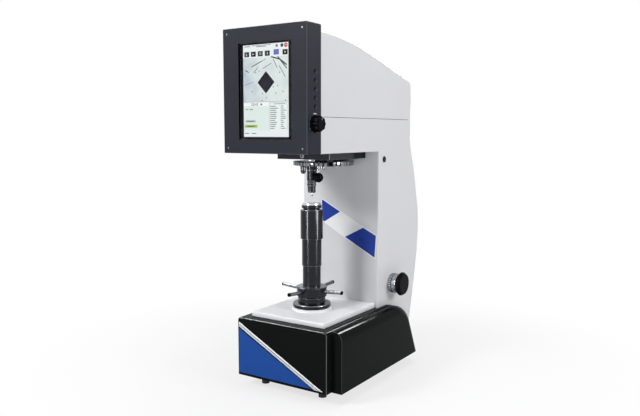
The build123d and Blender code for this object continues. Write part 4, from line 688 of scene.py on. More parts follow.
def turned(
    title: str, profile: Outline, seat: Matrix, finish: Finish, sides: int = 48, lobes: tuple[int, float] = (0, 0.0)
) -> Piece:
    """Turns a closed profile about its own Z.

    Args:
        title: The piece's name.
        profile: Points as radius and height, from axis to axis or round a ring.
        seat: The matrix to the scene's metres.
        finish: Its finish.
        sides: How many sides the circle has.
        lobes: How many lobes its edge has, and their height as a share of the radius.

    Returns:
        The piece, shaded smooth between its edges.
    """
    shape = bmesh.new()
    rings: list[list[bmesh.types.BMVert]] = []
    for radius, rise in profile:
        turns = [2 * pi * i / sides for i in range(1 if radius == 0 else sides)]
        reach = [radius * (1 + lobes[1] * cos(lobes[0] * t)) for t in turns]
        rings.append([shape.verts.new((r * cos(t), r * sin(t), rise)) for r, t in zip(reach, turns, strict=True)])
    pairs = list(zip(rings, rings[1:], strict=False))
    if profile[0][0] and profile[-1][0]:
        pairs.append((rings[-1], rings[0]))
    for lower, upper in pairs:
        for i in range(sides):
            j = (i + 1) % sides
            corners = [lower[i % len(lower)], lower[j % len(lower)], upper[j % len(upper)], upper[i % len(upper)]]
            shape.faces.new(list(dict.fromkeys(corners)))
    piece = as_piece(title, shape, seat, finish)
    piece.data.shade_smooth()
    piece.data.set_sharp_from_angle(angle=SHARP_ANGLE)
    return piece


def rectangle(left: float, bottom: float, right: float, top: float) -> Corners:
    """Gives a rectangle's corners."""
    return [(left, bottom), (right, bottom), (right, top), (left, top)]


def arc(radius: float, angles: Iterable[float]) -> Corners:
    """Gives the points of a circle about the origin at these angles, in degrees."""
    return [(radius * cos(radians(a)), radius * sin(radians(a))) for a in angles]


def round_outline(x: float, y: float, radius: float, sides: int = 24) -> Corners:
    """Gives a circle as an outline."""
    return [(x + radius * cos(2 * pi * i / sides), y + radius * sin(2 * pi * i / sides)) for i in range(sides)]


def band(points: Outline, width: float) -> Corners:
    """Gives the outline of a stroke along an open line.

    Args:
        points: The line's points.
        width: The stroke's width.

    Returns:
        The outline.
    """
    half, left, right = width / 2, [], []
    for i, (x, y) in enumerate(points):
        x0, y0 = points[max(i - 1, 0)]
        x1, y1 = points[min(i + 1, len(points) - 1)]
        run = hypot(x1 - x0, y1 - y0)
        across = (-(y1 - y0) / run * half, (x1 - x0) / run * half)
        left.append((x + across[0], y + across[1]))
        right.append((x - across[0], y - across[1]))
    return left + right[::-1]


def bend(_spot: Vector, normal: Vector) -> int:
    """Tells the middle of an upright corner, or of the bend above a front face, from the faces beside it; these faces
    take a painted highlight.

    Args:
        _spot: The face's middle, in millimetres from the datum.
        normal: The way it faces.

    Returns:
        The number of its finish.
    """
    # A face counts as turned towards an axis when its normal is within 60 degrees of it.
    towards = 0.5
    corner = abs(normal.x) > towards and abs(normal.y) > towards
    brow = normal.y < -towards and abs(normal.z) > towards
    return 1 if corner or brow else 0


def outside(x: float, y: float, h: float, radius: float) -> Zone:
    """Gives a zone that tells the bright stem of a grip from the ball on it."""
    return lambda spot, _normal: 0 if (spot - Vector((x, y, h))).length < radius else 1


def rim(_spot: Vector, normal: Vector) -> int:
    """Tells the rounded border of a front plate, which takes a painted highlight, from its face and its sides."""
    side_on, face_on = 0.25, 0.97
    return 1 if side_on < abs(normal.y) < face_on else 0


def cad_copy(node: str, title: str, finishes: Iterable[Finish], zone: Zone | None = None, join: bool = True) -> Piece:
    """Copies a CAD node's mesh with its loose triangles merged.

    Args:
        node: The CAD node.
        title: The copy's name.
        finishes: The finishes of its material slots.
        zone: Picks a face's finish from its centre, in millimetres from the datum, and its normal.
        join: Whether flat neighbours become one face.

    Returns:
        The copy, shaded smooth.
    """
    shape = bmesh.new()
    shape.from_mesh(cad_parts[node].data)
    bmesh.ops.remove_doubles(shape, verts=shape.verts, dist=0.002 * MM)
    if join:
        bmesh.ops.dissolve_degenerate(shape, edges=shape.edges, dist=0.001 * MM)
        bmesh.ops.dissolve_limit(shape, angle_limit=radians(0.4), verts=shape.verts, edges=shape.edges)
    if zone:
        zero = DATUM.at(0, 0, 0)
        for face in shape.faces:
            face.material_index = zone((face.calc_center_median() - zero) / MM, face.normal)
    piece = linked(title, shape, finishes)
    piece.data.shade_smooth()
    return piece


def skin(
    node: str,
    body: Body,
    slot: Slot,
    finishes: Iterable[Finish],
    bevel: float,
    zone: Zone | None = None,
    edge: int = -1,
) -> None:
    """Remakes a CAD node with softened edges, so that they catch the light as real ones do.

    Args:
        node: The CAD node that the piece stands for.
        body: The body that it rides on.
        slot: The record's slot for its finish.
        finishes: The finishes of its material slots.
        bevel: The width of the softened edges, in millimetres.
        zone: Picks a face's finish from its centre, in millimetres from the datum, and its normal.
        edge: The finish of the softened edges, or -1 for the faces' own; a lighter one is a painted highlight.
    """
    piece = cad_copy(node, f"{node}_skin", finishes, zone)
    rounds = piece.modifiers.new("rounds", "BEVEL")
    rounds.width, rounds.segments, rounds.material = bevel * MM, 2, edge
    rounds.limit_method, rounds.angle_limit = "ANGLE", SHARP_ANGLE
    rounds.use_clamp_overlap, rounds.miter_outer = True, "MITER_ARC"
    weights = piece.modifiers.new("weights", "WEIGHTED_NORMAL")
    weights.keep_sharp, weights.weight = True, 80
    hand_over(settled(piece), body, slot, node)


def paint(finish: Finish, *nodes: str) -> None:
    """Gives CAD nodes that stay as they are their finish.

    Args:
        finish: The finish.
        *nodes: The nodes.
    """
    for node in nodes:
        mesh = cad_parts[node].data
        if mesh.materials:
            mesh.materials[0] = finish.material()
        else:
            mesh.materials.append(finish.material())
        LOG.info("%s: %s", node, finish.title)


# --- Geometry Nodes ---

# How deep the small marks on the lit screen are.
MARK_DEPTH = 0.3


def new_tree(title: str, **inputs: str) -> tuple[Tree, Node]:
    """Starts a Geometry Nodes tree with named inputs and one more for the material.

    Args:
        title: The tree's name.
        **inputs: The kind of each input: Int or Float.

    Returns:
        The tree and its input node.
    """
    tree = bpy.data.node_groups.new(title, "GeometryNodeTree")
    tree.interface.new_socket("Geometry", in_out="OUTPUT", socket_type="NodeSocketGeometry")
    for name, kind in {**inputs, "Material": "Material"}.items():
        tree.interface.new_socket(name, in_out="INPUT", socket_type=f"NodeSocket{kind}")
    return tree, tree.nodes.new("NodeGroupInput")


def close_tree(tree: Tree, source: Node, placed: Node) -> Tree:
    """Ends a tree by realizing its instances and setting their material.

    Args:
        tree: The tree.
        source: Its input node.
        placed: The node that gives the instances.

    Returns:
        The tree.
    """
    real = add_node(tree, "GeometryNodeRealizeInstances", {0: placed})
    coated = {"Geometry": real, "Material": source.outputs["Material"]}
    add_node(tree, "NodeGroupOutput", {0: add_node(tree, "GeometryNodeSetMaterial", coated)})
    return tree


def ring_tree() -> Tree:
    """Makes the tree that sets round bars in a ring about Z, each leaning towards the ring's outside.

    Returns:
        The tree, with inputs for the number, radius, sides, thickness, length and lean of the bars.
    """
    tree, source = new_tree(
        "bars_in_a_ring", Count="Int", Radius="Float", Sides="Int", Thickness="Float", Length="Float", Lean="Float"
    )
    given = source.outputs
    ring = add_node(tree, "GeometryNodeMeshCircle", {"Vertices": given["Count"], "Radius": given["Radius"]})
    spot = add_node(tree, "GeometryNodeInputPosition")
    outwards = add_node(tree, "FunctionNodeAlignRotationToVector", {"Vector": spot}, axis="X", pivot_axis="Z")
    lean = add_node(tree, "ShaderNodeCombineXYZ", {"Y": given["Lean"]})
    turn = add_node(tree, "FunctionNodeRotateRotation", {0: outwards, 1: lean}, rotation_space="LOCAL")
    half = add_node(tree, "ShaderNodeMath", {0: given["Thickness"], 1: 0.5}, operation="MULTIPLY")
    round_bar = {"Vertices": given["Sides"], "Radius": half, "Depth": given["Length"]}
    bar = add_node(tree, "GeometryNodeMeshCylinder", round_bar)
    placed = add_node(tree, "GeometryNodeInstanceOnPoints", {"Points": ring, "Instance": bar, "Rotation": turn})
    return close_tree(tree, source, placed)


def screw_tree() -> Tree:
    """Makes the tree that sets countersunk screws with hexagon sockets at the corners of a rectangle.

    Returns:
        The tree, with inputs for the rectangle's sides, the head's thickness and height, and the socket.
    """
    # The head's underside as a share of its top, a hexagon's radius for each millimetre across its flats, and how
    # far the socket's cutter is lifted as a share of the head's height.
    taper, across_flats, lifted = 0.86, 0.577, 0.35
    tree, source = new_tree(
        "socket_screws_at_corners", Width="Float", Height="Float", Head="Float", Rise="Float", Socket="Float"
    )
    given = source.outputs
    sides = {"Size X": given["Width"], "Size Y": given["Height"], "Vertices X": 2, "Vertices Y": 2}
    corners = add_node(tree, "GeometryNodeMeshGrid", sides)
    radius = add_node(tree, "ShaderNodeMath", {0: given["Head"], 1: 0.5}, operation="MULTIPLY")
    foot = add_node(tree, "ShaderNodeMath", {0: radius, 1: taper}, operation="MULTIPLY")
    cone = {"Vertices": 28, "Radius Top": foot, "Radius Bottom": radius, "Depth": given["Rise"]}
    head = add_node(tree, "GeometryNodeMeshCone", cone)
    key = add_node(tree, "ShaderNodeMath", {0: given["Socket"], 1: across_flats}, operation="MULTIPLY")
    hexagon = add_node(tree, "GeometryNodeMeshCylinder", {"Vertices": 6, "Radius": key, "Depth": given["Rise"]})
    deep = add_node(tree, "ShaderNodeMath", {0: given["Rise"], 1: lifted}, operation="MULTIPLY")
    lift = add_node(tree, "ShaderNodeCombineXYZ", {"Z": deep})
    raised = add_node(tree, "GeometryNodeTransform", {"Geometry": hexagon, "Translation": lift})
    cut = add_node(tree, "GeometryNodeMeshBoolean", {0: head, 1: raised}, operation="DIFFERENCE", solver="EXACT")
    placed = add_node(tree, "GeometryNodeInstanceOnPoints", {"Points": corners, "Instance": cut})
    return close_tree(tree, source, placed)


def strokes_tree() -> Tree:
    """Makes the tree that scatters short flat strokes over a rectangle, as polishing scratches lie on a specimen.

    Returns:
        The tree, with inputs for the rectangle, the density, the strokes' length, width and angle, and the seed.
    """
    # The shortest stroke as a share of the longest.
    shortest = 0.35
    floats = dict.fromkeys(("Width", "Height", "Density", "Length", "Stroke", "Angle", "Spread"), "Float")
    tree, source = new_tree("scattered_strokes", **floats, Seed="Int")
    given = source.outputs
    sides = {"Size X": given["Width"], "Size Y": given["Height"], "Vertices X": 2, "Vertices Y": 2}
    field = add_node(tree, "GeometryNodeMeshGrid", sides)
    scatter = {"Mesh": field, "Density": given["Density"], "Seed": given["Seed"]}
    spots = add_node(tree, "GeometryNodeDistributePointsOnFaces", scatter)
    low = add_node(tree, "ShaderNodeMath", {0: given["Angle"], 1: given["Spread"]}, operation="SUBTRACT")
    high = add_node(tree, "ShaderNodeMath", {0: given["Angle"], 1: given["Spread"]}, operation="ADD")
    angle = add_node(tree, "FunctionNodeRandomValue", {2: low, 3: high, "Seed": given["Seed"]}, data_type="FLOAT")
    turn = add_node(tree, "ShaderNodeCombineXYZ", {"Z": angle.outputs[1]})
    share = add_node(tree, "FunctionNodeRandomValue", {2: shortest, 3: 1.0, "Seed": given["Seed"]}, data_type="FLOAT")
    length = add_node(tree, "ShaderNodeMath", {0: given["Length"], 1: share.outputs[1]}, operation="MULTIPLY")
    size = add_node(tree, "ShaderNodeCombineXYZ", {"X": length, "Y": given["Stroke"], "Z": MARK_DEPTH})
    stroke = add_node(tree, "GeometryNodeMeshCube", {"Size": (1.0, 1.0, 1.0)})
    laid = {"Points": spots, "Instance": stroke, "Rotation": turn, "Scale": size}
    return close_tree(tree, source, add_node(tree, "GeometryNodeInstanceOnPoints", laid))


def rows_tree() -> Tree:
    """Makes the tree that sets ragged rows of small bars one under another, as unreadable lines of a table.

    Returns:
        The tree, with inputs for the number, pitch, shortest and longest bar, bar height and seed.
    """
    tree, source = new_tree(
        "rows_of_bars", Count="Int", Pitch="Float", Shortest="Float", Longest="Float", Bar="Float", Seed="Int"
    )
    given = source.outputs
    down = add_node(tree, "ShaderNodeMath", {0: given["Pitch"], 1: -1.0}, operation="MULTIPLY")
    step = add_node(tree, "ShaderNodeCombineXYZ", {"Y": down})
    rows = add_node(tree, "GeometryNodeMeshLine", {"Count": given["Count"], "Offset": step}, mode="OFFSET")
    ragged = {2: given["Shortest"], 3: given["Longest"], "Seed": given["Seed"]}
    width = add_node(tree, "FunctionNodeRandomValue", ragged, data_type="FLOAT")
    size = add_node(tree, "ShaderNodeCombineXYZ", {"X": width.outputs[1], "Y": given["Bar"], "Z": MARK_DEPTH})
    bar = add_node(tree, "GeometryNodeMeshCube", {"Size": (1.0, 1.0, 1.0)})
    left = add_node(tree, "GeometryNodeTransform", {"Geometry": bar, "Translation": (0.5, 0.0, 0.0)})
    placed = add_node(tree, "GeometryNodeInstanceOnPoints", {"Points": rows, "Instance": left, "Scale": size})
    return close_tree(tree, source, placed)


def grown(title: str, tree: Tree, seat: Matrix, finish: Finish, **sizes: float) -> Piece:
    """Runs a Geometry Nodes tree once and keeps its result as a plain piece.

    Args:
        title: The piece's name.
        tree: The tree.
        seat: The matrix from the tree's millimetres to the scene's metres.
        finish: The finish for the tree's material input.
        **sizes: The values of the tree's inputs, by their names.

    Returns:
        The piece.
    """
    piece = linked(title, bmesh.new())
    modifier = piece.modifiers.new("grown", "NODES")
    modifier.node_group = tree
    values = {**sizes, "Material": finish.material()}
    for item in tree.interface.items_tree:
        if item.in_out == "INPUT":
            modifier[item.identifier] = values[item.name]
    settled(piece)
    piece.data.transform(seat)
    return piece


RING = ring_tree()
SCREWS = screw_tree()
STROKES = strokes_tree()
ROWS = rows_tree()


def digits(title: str, text: str, height: float, rise: float, seat: Matrix, finish: Finish, bold: float = 0.0) -> Piece:
    """Sets a plain number as a raised mesh.

    Args:
        title: The piece's name.
        text: The number.
        height: The height of its figures, in millimetres.
        rise: How far they stand up, in millimetres.
        seat: The matrix to the scene's metres, for the number's middle.
        finish: Its finish.
        bold: How far each stroke is widened, in millimetres.

    Returns:
        The piece.
    """
    # The font's size for each millimetre of its figures' height.
    font_size = 1.4
    curve = bpy.data.curves.new(title, "FONT")
    curve.body, curve.size, curve.extrude, curve.offset = text, height * font_size, rise / 2, bold
    curve.align_x, curve.align_y, curve.resolution_u = "CENTER", "CENTER", 3
    source = bpy.data.objects.new(f"{title}_text", curve)
    bpy.context.scene.collection.objects.link(source)
    mesh = bpy.data.meshes.new_from_object(source.evaluated_get(bpy.context.evaluated_depsgraph_get()))
    bpy.data.objects.remove(source)
    shape = bmesh.new()
    shape.from_mesh(mesh)
    bmesh.ops.remove_doubles(shape, verts=shape.verts, dist=0.01)
    bmesh.ops.translate(shape, verts=shape.verts, vec=(0, 0, rise / 2))
    return as_piece(title, shape, seat, finish)


# --- The base ---


@dataclass
class Base:
    """The black base with its side fairing, the white platform, the feet and the coloured front.

    Args:
        line_left: The height at which the front's slanting stripes meet its left edge.
        line_right: How far right of the axis they reach the foot.
        edge_x: Where the front's left edge is.
        foot: The height of the front's lower edge.
        film_x: Where the stripes start, a hair past the left edge.
        film: The thickness of the coloured film.
        stud_foot: The height at which a foot's rubber ends and its stud starts.
    """

    line_left: float = 143.0
    line_right: float = 129.0
    edge_x: float = -134.8
    foot: float = 5.7
    film_x: float = -135.2
    film: float = 0.25
    stud_foot: float = -9.0

    def build(self) -> None:
        """Dresses the base's pieces and lays the films on its front."""
        for node in ("base_housing", "side_fairing"):
            # The corners and the bend above the front take the lighter enamel, a painted highlight.
            skin(node, Body.FRAME, Slot.BLACK_GLOSS, [BLACK_ENAMEL, BLACK_ENAMEL_PAINTED_HIGHLIGHT], 1.0, zone=bend, edge=1)
        skin("platform_plate", Body.FRAME, Slot.WHITE_PAINT, [WHITE_ENAMEL], 0.8)
        skin("levelling_feet", Body.FRAME, Slot.RUBBER, [NITRILE, BLACKED_STEEL], 0.5, zone=self.foot_or_stud)
        paint(CAST_IRON, "base_plate")
        self.films()

    def foot_or_stud(self, spot: Vector, _normal: Vector) -> int:
        """Tells the steel stud above a foot from its rubber pad."""
        return 1 if spot.z > self.stud_foot else 0

    @property
    def slope(self) -> float:
        """The slanting line's rise for each millimetre to the right."""
        return (self.foot - self.line_left) / (self.line_right - self.edge_x)

    def along_line(self, below: float, x: float) -> float:
        """Gives the height of the slanting line at x, moved down square to itself by below."""
        return self.line_left + self.slope * (x - self.edge_x) - below / cos(atan(self.slope))

    def reach(self, below: float) -> float:
        """Gives the x at which the slanting line, moved down by below, comes to the foot."""
        return self.edge_x + (self.foot + below / cos(atan(self.slope)) - self.line_left) / self.slope

    def stripe(self, near: float, far: float) -> Corners:
        """Gives the outline of a slanting stripe.

        Args:
            near: How far its upper edge is below the slanting line.
            far: How far its lower edge is.

        Returns:
            Its corners.
        """
        return [
            (self.film_x, self.along_line(far, self.film_x)),
            (self.reach(far), self.foot),
            (self.reach(near), self.foot),
            (self.film_x, self.along_line(near, self.film_x)),
        ]

    def films(self) -> None:
        """Lays the blue field and the two pale stripes on the front, with dark gaps between them."""
        for title, outline, vinyl in (
            ("base_blue_field", [(-135.6, 126.0), (-135.6, 6.6), (98.6, 6.6)], ROYAL_VINYL),
            ("base_white_stripe", self.stripe(0.0, 4.4), WHITE_VINYL),
            ("base_silver_stripe", self.stripe(5.8, 11.2), SILVER_VINYL),
        ):
            film = plates(title, [outline], 0.0, self.film, Facing.FRONT.seat(0, 0, 0), vinyl)
            hand_over(film, Body.FRAME, Slot.BLACK_GLOSS)


# --- The column ---


@dataclass
class Column:
    """The grey C-frame, its upper cover, and the blue band across the throat's back wall.

    Args:
        wall_y: How far the throat's back wall is behind the base's front.
        border: The width of the band's white border.
        film: The thickness of one layer of film.
        seam: The height at which the cover sits on the column.
        side: How far the column's sides are from its middle.
        seam_rear_y: How far the seam's rear is behind the base's front.
        under_piece: The outline of the whole band, without its border.
        left_piece: The outline of the blue piece on its left.
        right_piece: The outline of the blue piece on its right.
    """

    wall_y: float = 284.6
    border: float = 2.6
    film: float = 0.2
    seam: float = 675.0
    side: float = 124.0
    seam_rear_y: float = 471.5

    under_piece: Outline = (
        (-60.0, 448.7), (-54.9, 446.1), (0.9, 416.7), (76.5, 376.5), (116.9, 357.1),
        (113.4, 295.5), (17.5, 346.1), (-51.4, 385.1), (-60.0, 389.2),
    )  # fmt: skip
    left_piece: Outline = ((-60.0, 448.7), (-54.9, 446.1), (0.9, 416.7), (-51.4, 385.1), (-60.0, 389.2))
    right_piece: Outline = ((76.5, 376.5), (116.9, 357.1), (113.4, 295.5), (17.5, 346.1))

    def build(self) -> None:
        """Dresses the castings and lays the band."""
        for node in ("column_body", "upper_cover"):
            # The softened edges take the whiter enamel, a painted highlight.
            skin(node, Body.FRAME, Slot.GREY_PAINT, [GREY_ENAMEL, GREY_ENAMEL_PAINTED_HIGHLIGHT], 1.6, edge=1)
        skin("column_plug", Body.FRAME, Slot.MATTE_BLACK, [BLACK_ABS], 0.4)
        self.lay_groove_shade()
        self.bands()

    def lay_groove_shade(self) -> None:
        """Lays a dark strip in the groove between column and cover, as painted shade for the groove."""
        inset, wide, corner, half = 0.15, 2.4, 9.0, 1.35
        outer, rear = self.side - inset, self.seam_rear_y - inset
        strips = [
            rectangle(outer - wide, corner, outer, rear - corner),
            rectangle(-outer, corner, wide - outer, rear - corner),
            rectangle(corner - outer, rear - wide, outer - corner, rear),
        ]
        # The strip stands for the shade in the groove.
        shade_strip = plates("seam_painted_shade_strip", strips, -half, half, Facing.UP.seat(0, 0, self.seam), NITRILE)
        hand_over(shade_strip, Body.FRAME, Slot.RUBBER)

    def grow(self, outline: Outline, by: float) -> Corners:
        """Moves each side of an outline outwards.

        Args:
            outline: The outline, in millimetres.
            by: How far its sides move.

        Returns:
            The new corners.
        """
        spots = [Vector(spot) for spot in outline]
        turns = list(zip(spots[-1:] + spots[:-1], spots, spots[1:] + spots[:1], strict=True))
        area = sum(here.x * after.y - after.x * here.y for _, here, after in turns)
        side = 1.0 if area > 0 else -1.0
        corners = []
        for before, here, after in turns:
            one, two = (here - before).normalized(), (after - here).normalized()
            out_one, out_two = Vector((one.y, -one.x)) * side, Vector((two.y, -two.x)) * side
            corner = here + (out_one + out_two) * (by / (1.0 + out_one.dot(out_two)))
            corners.append((corner.x, corner.y))
        return corners

    def bands(self) -> None:
        """Lays the white film right across the wall, and the two blue pieces on it with a bare field between them."""
        border = [self.grow(self.under_piece, self.border)]
        for title, outlines, layer, vinyl in (
            ("throat_band_border", border, 0, WHITE_VINYL),
            ("throat_band_blue", [self.left_piece, self.right_piece], 1, BLUE_VINYL),
        ):
            seat = Facing.FRONT.seat(0, self.wall_y, 0)
            film = plates(title, outlines, layer * self.film, (layer + 1) * self.film, seat, vinyl)
            hand_over(film, Body.FRAME, Slot.GREY_PAINT)


# --- The elevating screw ---


@dataclass
class ElevatingScrew:
    """The bearing, the spoked handwheel, the telescoping sleeves and the anvil that they raise.

    Args:
        axis_y: How far the screw's axis is behind the base's front.
        hub_top: The height of the hub's upper face.
        spoke_height: The height of the spokes' ends above the base's underside.
        spoke_reach: The radius at which the spokes end.
        spoke_first: The angle of the first spoke.
        sleeve_top: The height of the upper sleeve's rim.
        anvil_foot: The height at which the bright anvil stands on its dark flange.
        thread: The radius of the bore over the screw's thread.
    """

    axis_y: float = 143.3
    hub_top: float = 229.3
    spoke_height: float = 222.6
    spoke_reach: float = 98.8
    spoke_first: float = -2.5
    sleeve_top: float = 436.0
    anvil_foot: float = 448.2
    thread: float = 20.4

    def build(self) -> None:
        """Dresses each turned piece; its chamfers and the hub's upper face are lighter, rubbed and with a painted
        highlight.
        """
        skin("screw_bearing", Body.FRAME, Slot.BLACK_STEEL, BLACKED, 0.7, edge=1)
        skin("handwheel_hub", Body.HANDWHEEL, Slot.BLACK_STEEL, BLACKED, 0.6, zone=self.hub_rim, edge=1)
        skin("handwheel_spokes", Body.HANDWHEEL, Slot.CHROME, [CHROMED_BAR], 0.5)
        skin("dust_sleeve_lower", Body.HANDWHEEL, Slot.BLACK_STEEL, BLACKED, 0.5, edge=1)
        skin("dust_sleeve_middle", Body.MIDDLE_SLEEVE, Slot.BLACK_STEEL, BLACKED, 0.6, edge=1)
        self.rings("upper_sleeve", self.sleeve_profile(), "dust_sleeve_upper")
        self.rings("anvil_flange", self.flange_profile(), "screw_collar")
        seat = Facing.UP.seat(0, self.axis_y, 0)
        anvil = turned("bright_anvil", self.anvil_profile(), seat, GROUND_STEEL, sides=96)
        hand_over(anvil, Body.SCREW, Slot.STEEL, "test_anvil")
        paint(GROUND_STEEL, "elevating_screw")
        paint(BEARING_BRONZE, "lift_nut")
        paint(CAST_IRON, "screw_guide")
        self.spoke_caps()

    def sleeve_profile(self) -> Corners:
        """Gives the upper sleeve's section, with a flat rim, a rounded edge and an open bore.

        Returns:
            Its points, as radius and height.
        """
        top, foot, outer, bore = self.sleeve_top, 358.2, 30.0, 26.8
        lid = top - 10.3
        return [
            (self.thread, lid), (bore, lid), (bore, foot), (outer - 0.7, foot), (outer, foot + 0.7),
            (outer, top - 0.9), (outer - 0.35, top - 0.25), (outer - 0.9, top), (self.thread, top),
        ]  # fmt: skip

    def flange_profile(self) -> Corners:
        """Gives the section of the dark flange that carries the anvil on a narrower neck.

        Returns:
            Its points, as radius and height.
        """
        foot, top, outer, neck = self.sleeve_top, self.anvil_foot, 27.0, 22.5
        recess, floor = 14.3, 442.9
        return [
            (self.thread, foot), (neck, foot), (neck, foot + 3.4), (outer - 1.6, foot + 4.2),
            (outer - 0.5, foot + 4.8), (outer, foot + 5.4), (outer, top - 0.8), (outer - 0.8, top),
            (recess, top), (recess, floor), (self.thread, floor),
        ]  # fmt: skip

    def anvil_profile(self) -> Corners:
        """Gives the section of the anvil, down to the end of the stem that seats in the screw.

        Returns:
            Its points, as radius and height.
        """
        face, foot, outer = 453.5, self.anvil_foot, 23.9
        stem, stem_end, boss, boss_foot = 9.8, 414.9, 14.0, 443.0
        return [
            (0.0, stem_end), (stem, stem_end), (stem, boss_foot), (boss, boss_foot), (boss, foot),
            (outer - 0.6, foot), (outer, foot + 0.6), (outer, face - 0.7), (outer - 0.25, face - 0.2),
            (outer - 0.8, face), (0.0, face),
        ]  # fmt: skip

    def rings(self, title: str, profile: Outline, node: str) -> None:
        """Turns a blackened piece of the stack and gives its chamfers the lighter rubbed finish, partly a painted
        highlight.

        Args:
            title: The piece's name.
            profile: Its section, as radius and height.
            node: The CAD node that it stands for.
        """
        piece = turned(title, profile, Facing.UP.seat(0, self.axis_y, 0), BLACKED_STEEL, sides=96)
        piece.data.materials.append(RUBBED_EDGE_AND_PAINTED_HIGHLIGHT.material())
        # The faces between upright and level are the chamfers that take the painted highlight.
        upright, level = 0.2, 0.97
        for face in piece.data.polygons:
            face.material_index = 1 if upright < abs(face.normal.z) < level else 0
        hand_over(piece, Body.SCREW, Slot.BLACK_STEEL, node)

    def hub_rim(self, spot: Vector, normal: Vector) -> int:
        """Tells the hub's upper face, lighter as rubbed steel and a painted highlight, from its blackened sides."""
        return 1 if normal.z > 0.9 and spot.z > self.hub_top - 1.0 else 0

    def spoke_caps(self) -> None:
        """Plugs the end of each spoke with a short black cap."""
        # Each cap's middle is this far inside the spoke's end, so that its outer face stands just proud of it.
        sunk = 1.6
        seat = Facing.UP.seat(0, self.axis_y, self.spoke_height, self.spoke_first)
        sizes = {"Sides": 24, "Thickness": 10.1, "Length": 3.4, "Lean": radians(86.0)}
        caps = grown("spoke_end_caps", RING, seat, PHENOLIC, Count=4, Radius=self.spoke_reach - sunk, **sizes)
        hand_over(caps, Body.HANDWHEEL, Slot.CHROME)


# --- The turret ---


@dataclass
class Turret:
    """The indexing turret under the arm, with its stations, and the loading spindle's nose.

    Args:
        axis_y: How far the turret's axis is behind the base's front.
        station_radius: The radius of the stations.
        disc_foot: The height of the disc's lower face.
        disc_radius: The disc's radius.
        disc_depth: The disc's thickness.
        flutes: How many grip flutes the disc's edge has.
        ball: The centre of the turning handle's ball, and its radius with a hair to spare.
        plunger_ball: The same for the index plunger's ball.
    """

    axis_y: float = 200.5
    station_radius: float = 57.2
    disc_foot: float = 551.5
    disc_radius: float = 82.0
    disc_depth: float = 12.0
    flutes: int = 44
    ball: tuple[float, float, float, float] = (26.2, 135.6, 522.0, 13.2)
    plunger_ball: tuple[float, float, float, float] = (70.7, 128.3, 557.5, 5.7)

    def build(self) -> None:
        """Dresses the turret's pieces."""
        # The blacked pieces' chamfers take the lighter rubbed finish, partly a painted highlight.
        skin("turret_plate", Body.FRAME, Slot.BLACK_STEEL, BLACKED, 0.8, edge=1)
        skin("plate_screw", Body.FRAME, Slot.CHROME, [CHROMED_BAR], 0.3)
        skin("turret_pivot", Body.FRAME, Slot.STEEL, [GROUND_STEEL], 0.4)
        self.fluted_disc()
        skin("spindle_housing", Body.TURRET, Slot.BLACK_STEEL, BLACKED, 0.4, edge=1)
        skin("long_objective", Body.TURRET, Slot.BLACK_STEEL, BLACKED, 0.3, edge=1)
        skin("short_objective", Body.TURRET, Slot.CHROME, [CHROMED_BAR], 0.3)
        self.knurls()
        grips, pins = [PHENOLIC, CHROMED_BAR], [PHENOLIC, GROUND_STEEL]
        skin("turret_handle", Body.TURRET, Slot.BLACK_PLASTIC, grips, 0.3, zone=outside(*self.ball))
        skin("index_plunger", Body.INDEX_PLUNGER, Slot.BLACK_PLASTIC, pins, 0.2, zone=outside(*self.plunger_ball))
        paint(GROUND_STEEL, "spindle")
        skin("nose_cap", Body.LOADING_SPINDLE, Slot.BLACK_STEEL, BLACKED, 0.5, edge=1)
        skin("indenter", Body.LOADING_SPINDLE, Slot.STEEL, [GROUND_STEEL], 0.2)

    def fluted_disc(self) -> None:
        """Cuts the grip flutes into the disc's bright edge and gives their faces the dark blacked finish, as painted
        shade.
        """
        piece = cad_copy("turret_disc", "turret_disc_fluted", [CHROMED_BAR, BLACKED_STEEL], join=False)
        piece.data.set_sharp_from_angle(angle=SHARP_ANGLE)
        # How far the cutters' axes are outside the edge, and how much longer they are than the disc is thick.
        outside, spare = 1.4, 2.0
        sizes = {"Sides": 16, "Thickness": 5.6, "Length": self.disc_depth + spare, "Lean": 0.0}
        seat = Facing.UP.seat(0, self.axis_y, self.disc_foot + self.disc_depth / 2)
        radius = self.disc_radius + outside
        cutters = grown("flute_cutters", RING, seat, BLACKED_STEEL, Count=self.flutes, Radius=radius, **sizes)
        # The cut faces take the cutters' dark finish: painted shade in the flutes.
        cut = piece.modifiers.new("flutes", "BOOLEAN")
        cut.object, cut.operation, cut.solver, cut.material_mode = cutters, "DIFFERENCE", "EXACT", "TRANSFER"
        settled(piece)
        bpy.data.objects.remove(cutters)
        hand_over(piece, Body.TURRET, Slot.CHROME, "turret_disc")

    def knurls(self) -> None:
        """Wraps a ring of straight knurling round the gripped part of each objective."""
        for title, angle, height, radius, length, finish, slot in (
            # The long objective's knurl takes the lighter rubbed finish, partly a painted highlight.
            ("long_objective_knurl", -162.0, 546.0, 8.42, 9.0, RUBBED_EDGE_AND_PAINTED_HIGHLIGHT, Slot.BLACK_STEEL),
            ("short_objective_knurl", -234.0, 549.0, 7.92, 5.0, GROUND_STEEL, Slot.CHROME),
        ):
            ((x, y),) = arc(self.station_radius, [angle])
            sizes = {"Count": 44, "Radius": radius, "Sides": 4, "Thickness": 0.7, "Length": length, "Lean": 0.0}
            seat = Facing.UP.seat(x, self.axis_y + y, height - length / 2)
            hand_over(grown(title, RING, seat, finish, **sizes), Body.TURRET, slot)


# --- The load train ---


@dataclass
class LoadTrain:
    """The lever, rod and weights inside the frame that press the spindle down."""

    def build(self) -> None:
        """Gives the hidden pieces their finishes."""
        paint(CAST_IRON, "lever_bracket", "load_lever", "weight_stack")
        paint(GROUND_STEEL, "lever_pin", "push_rod", "weight_hanger")
        paint(BLACKED_STEEL, "lift_actuator")


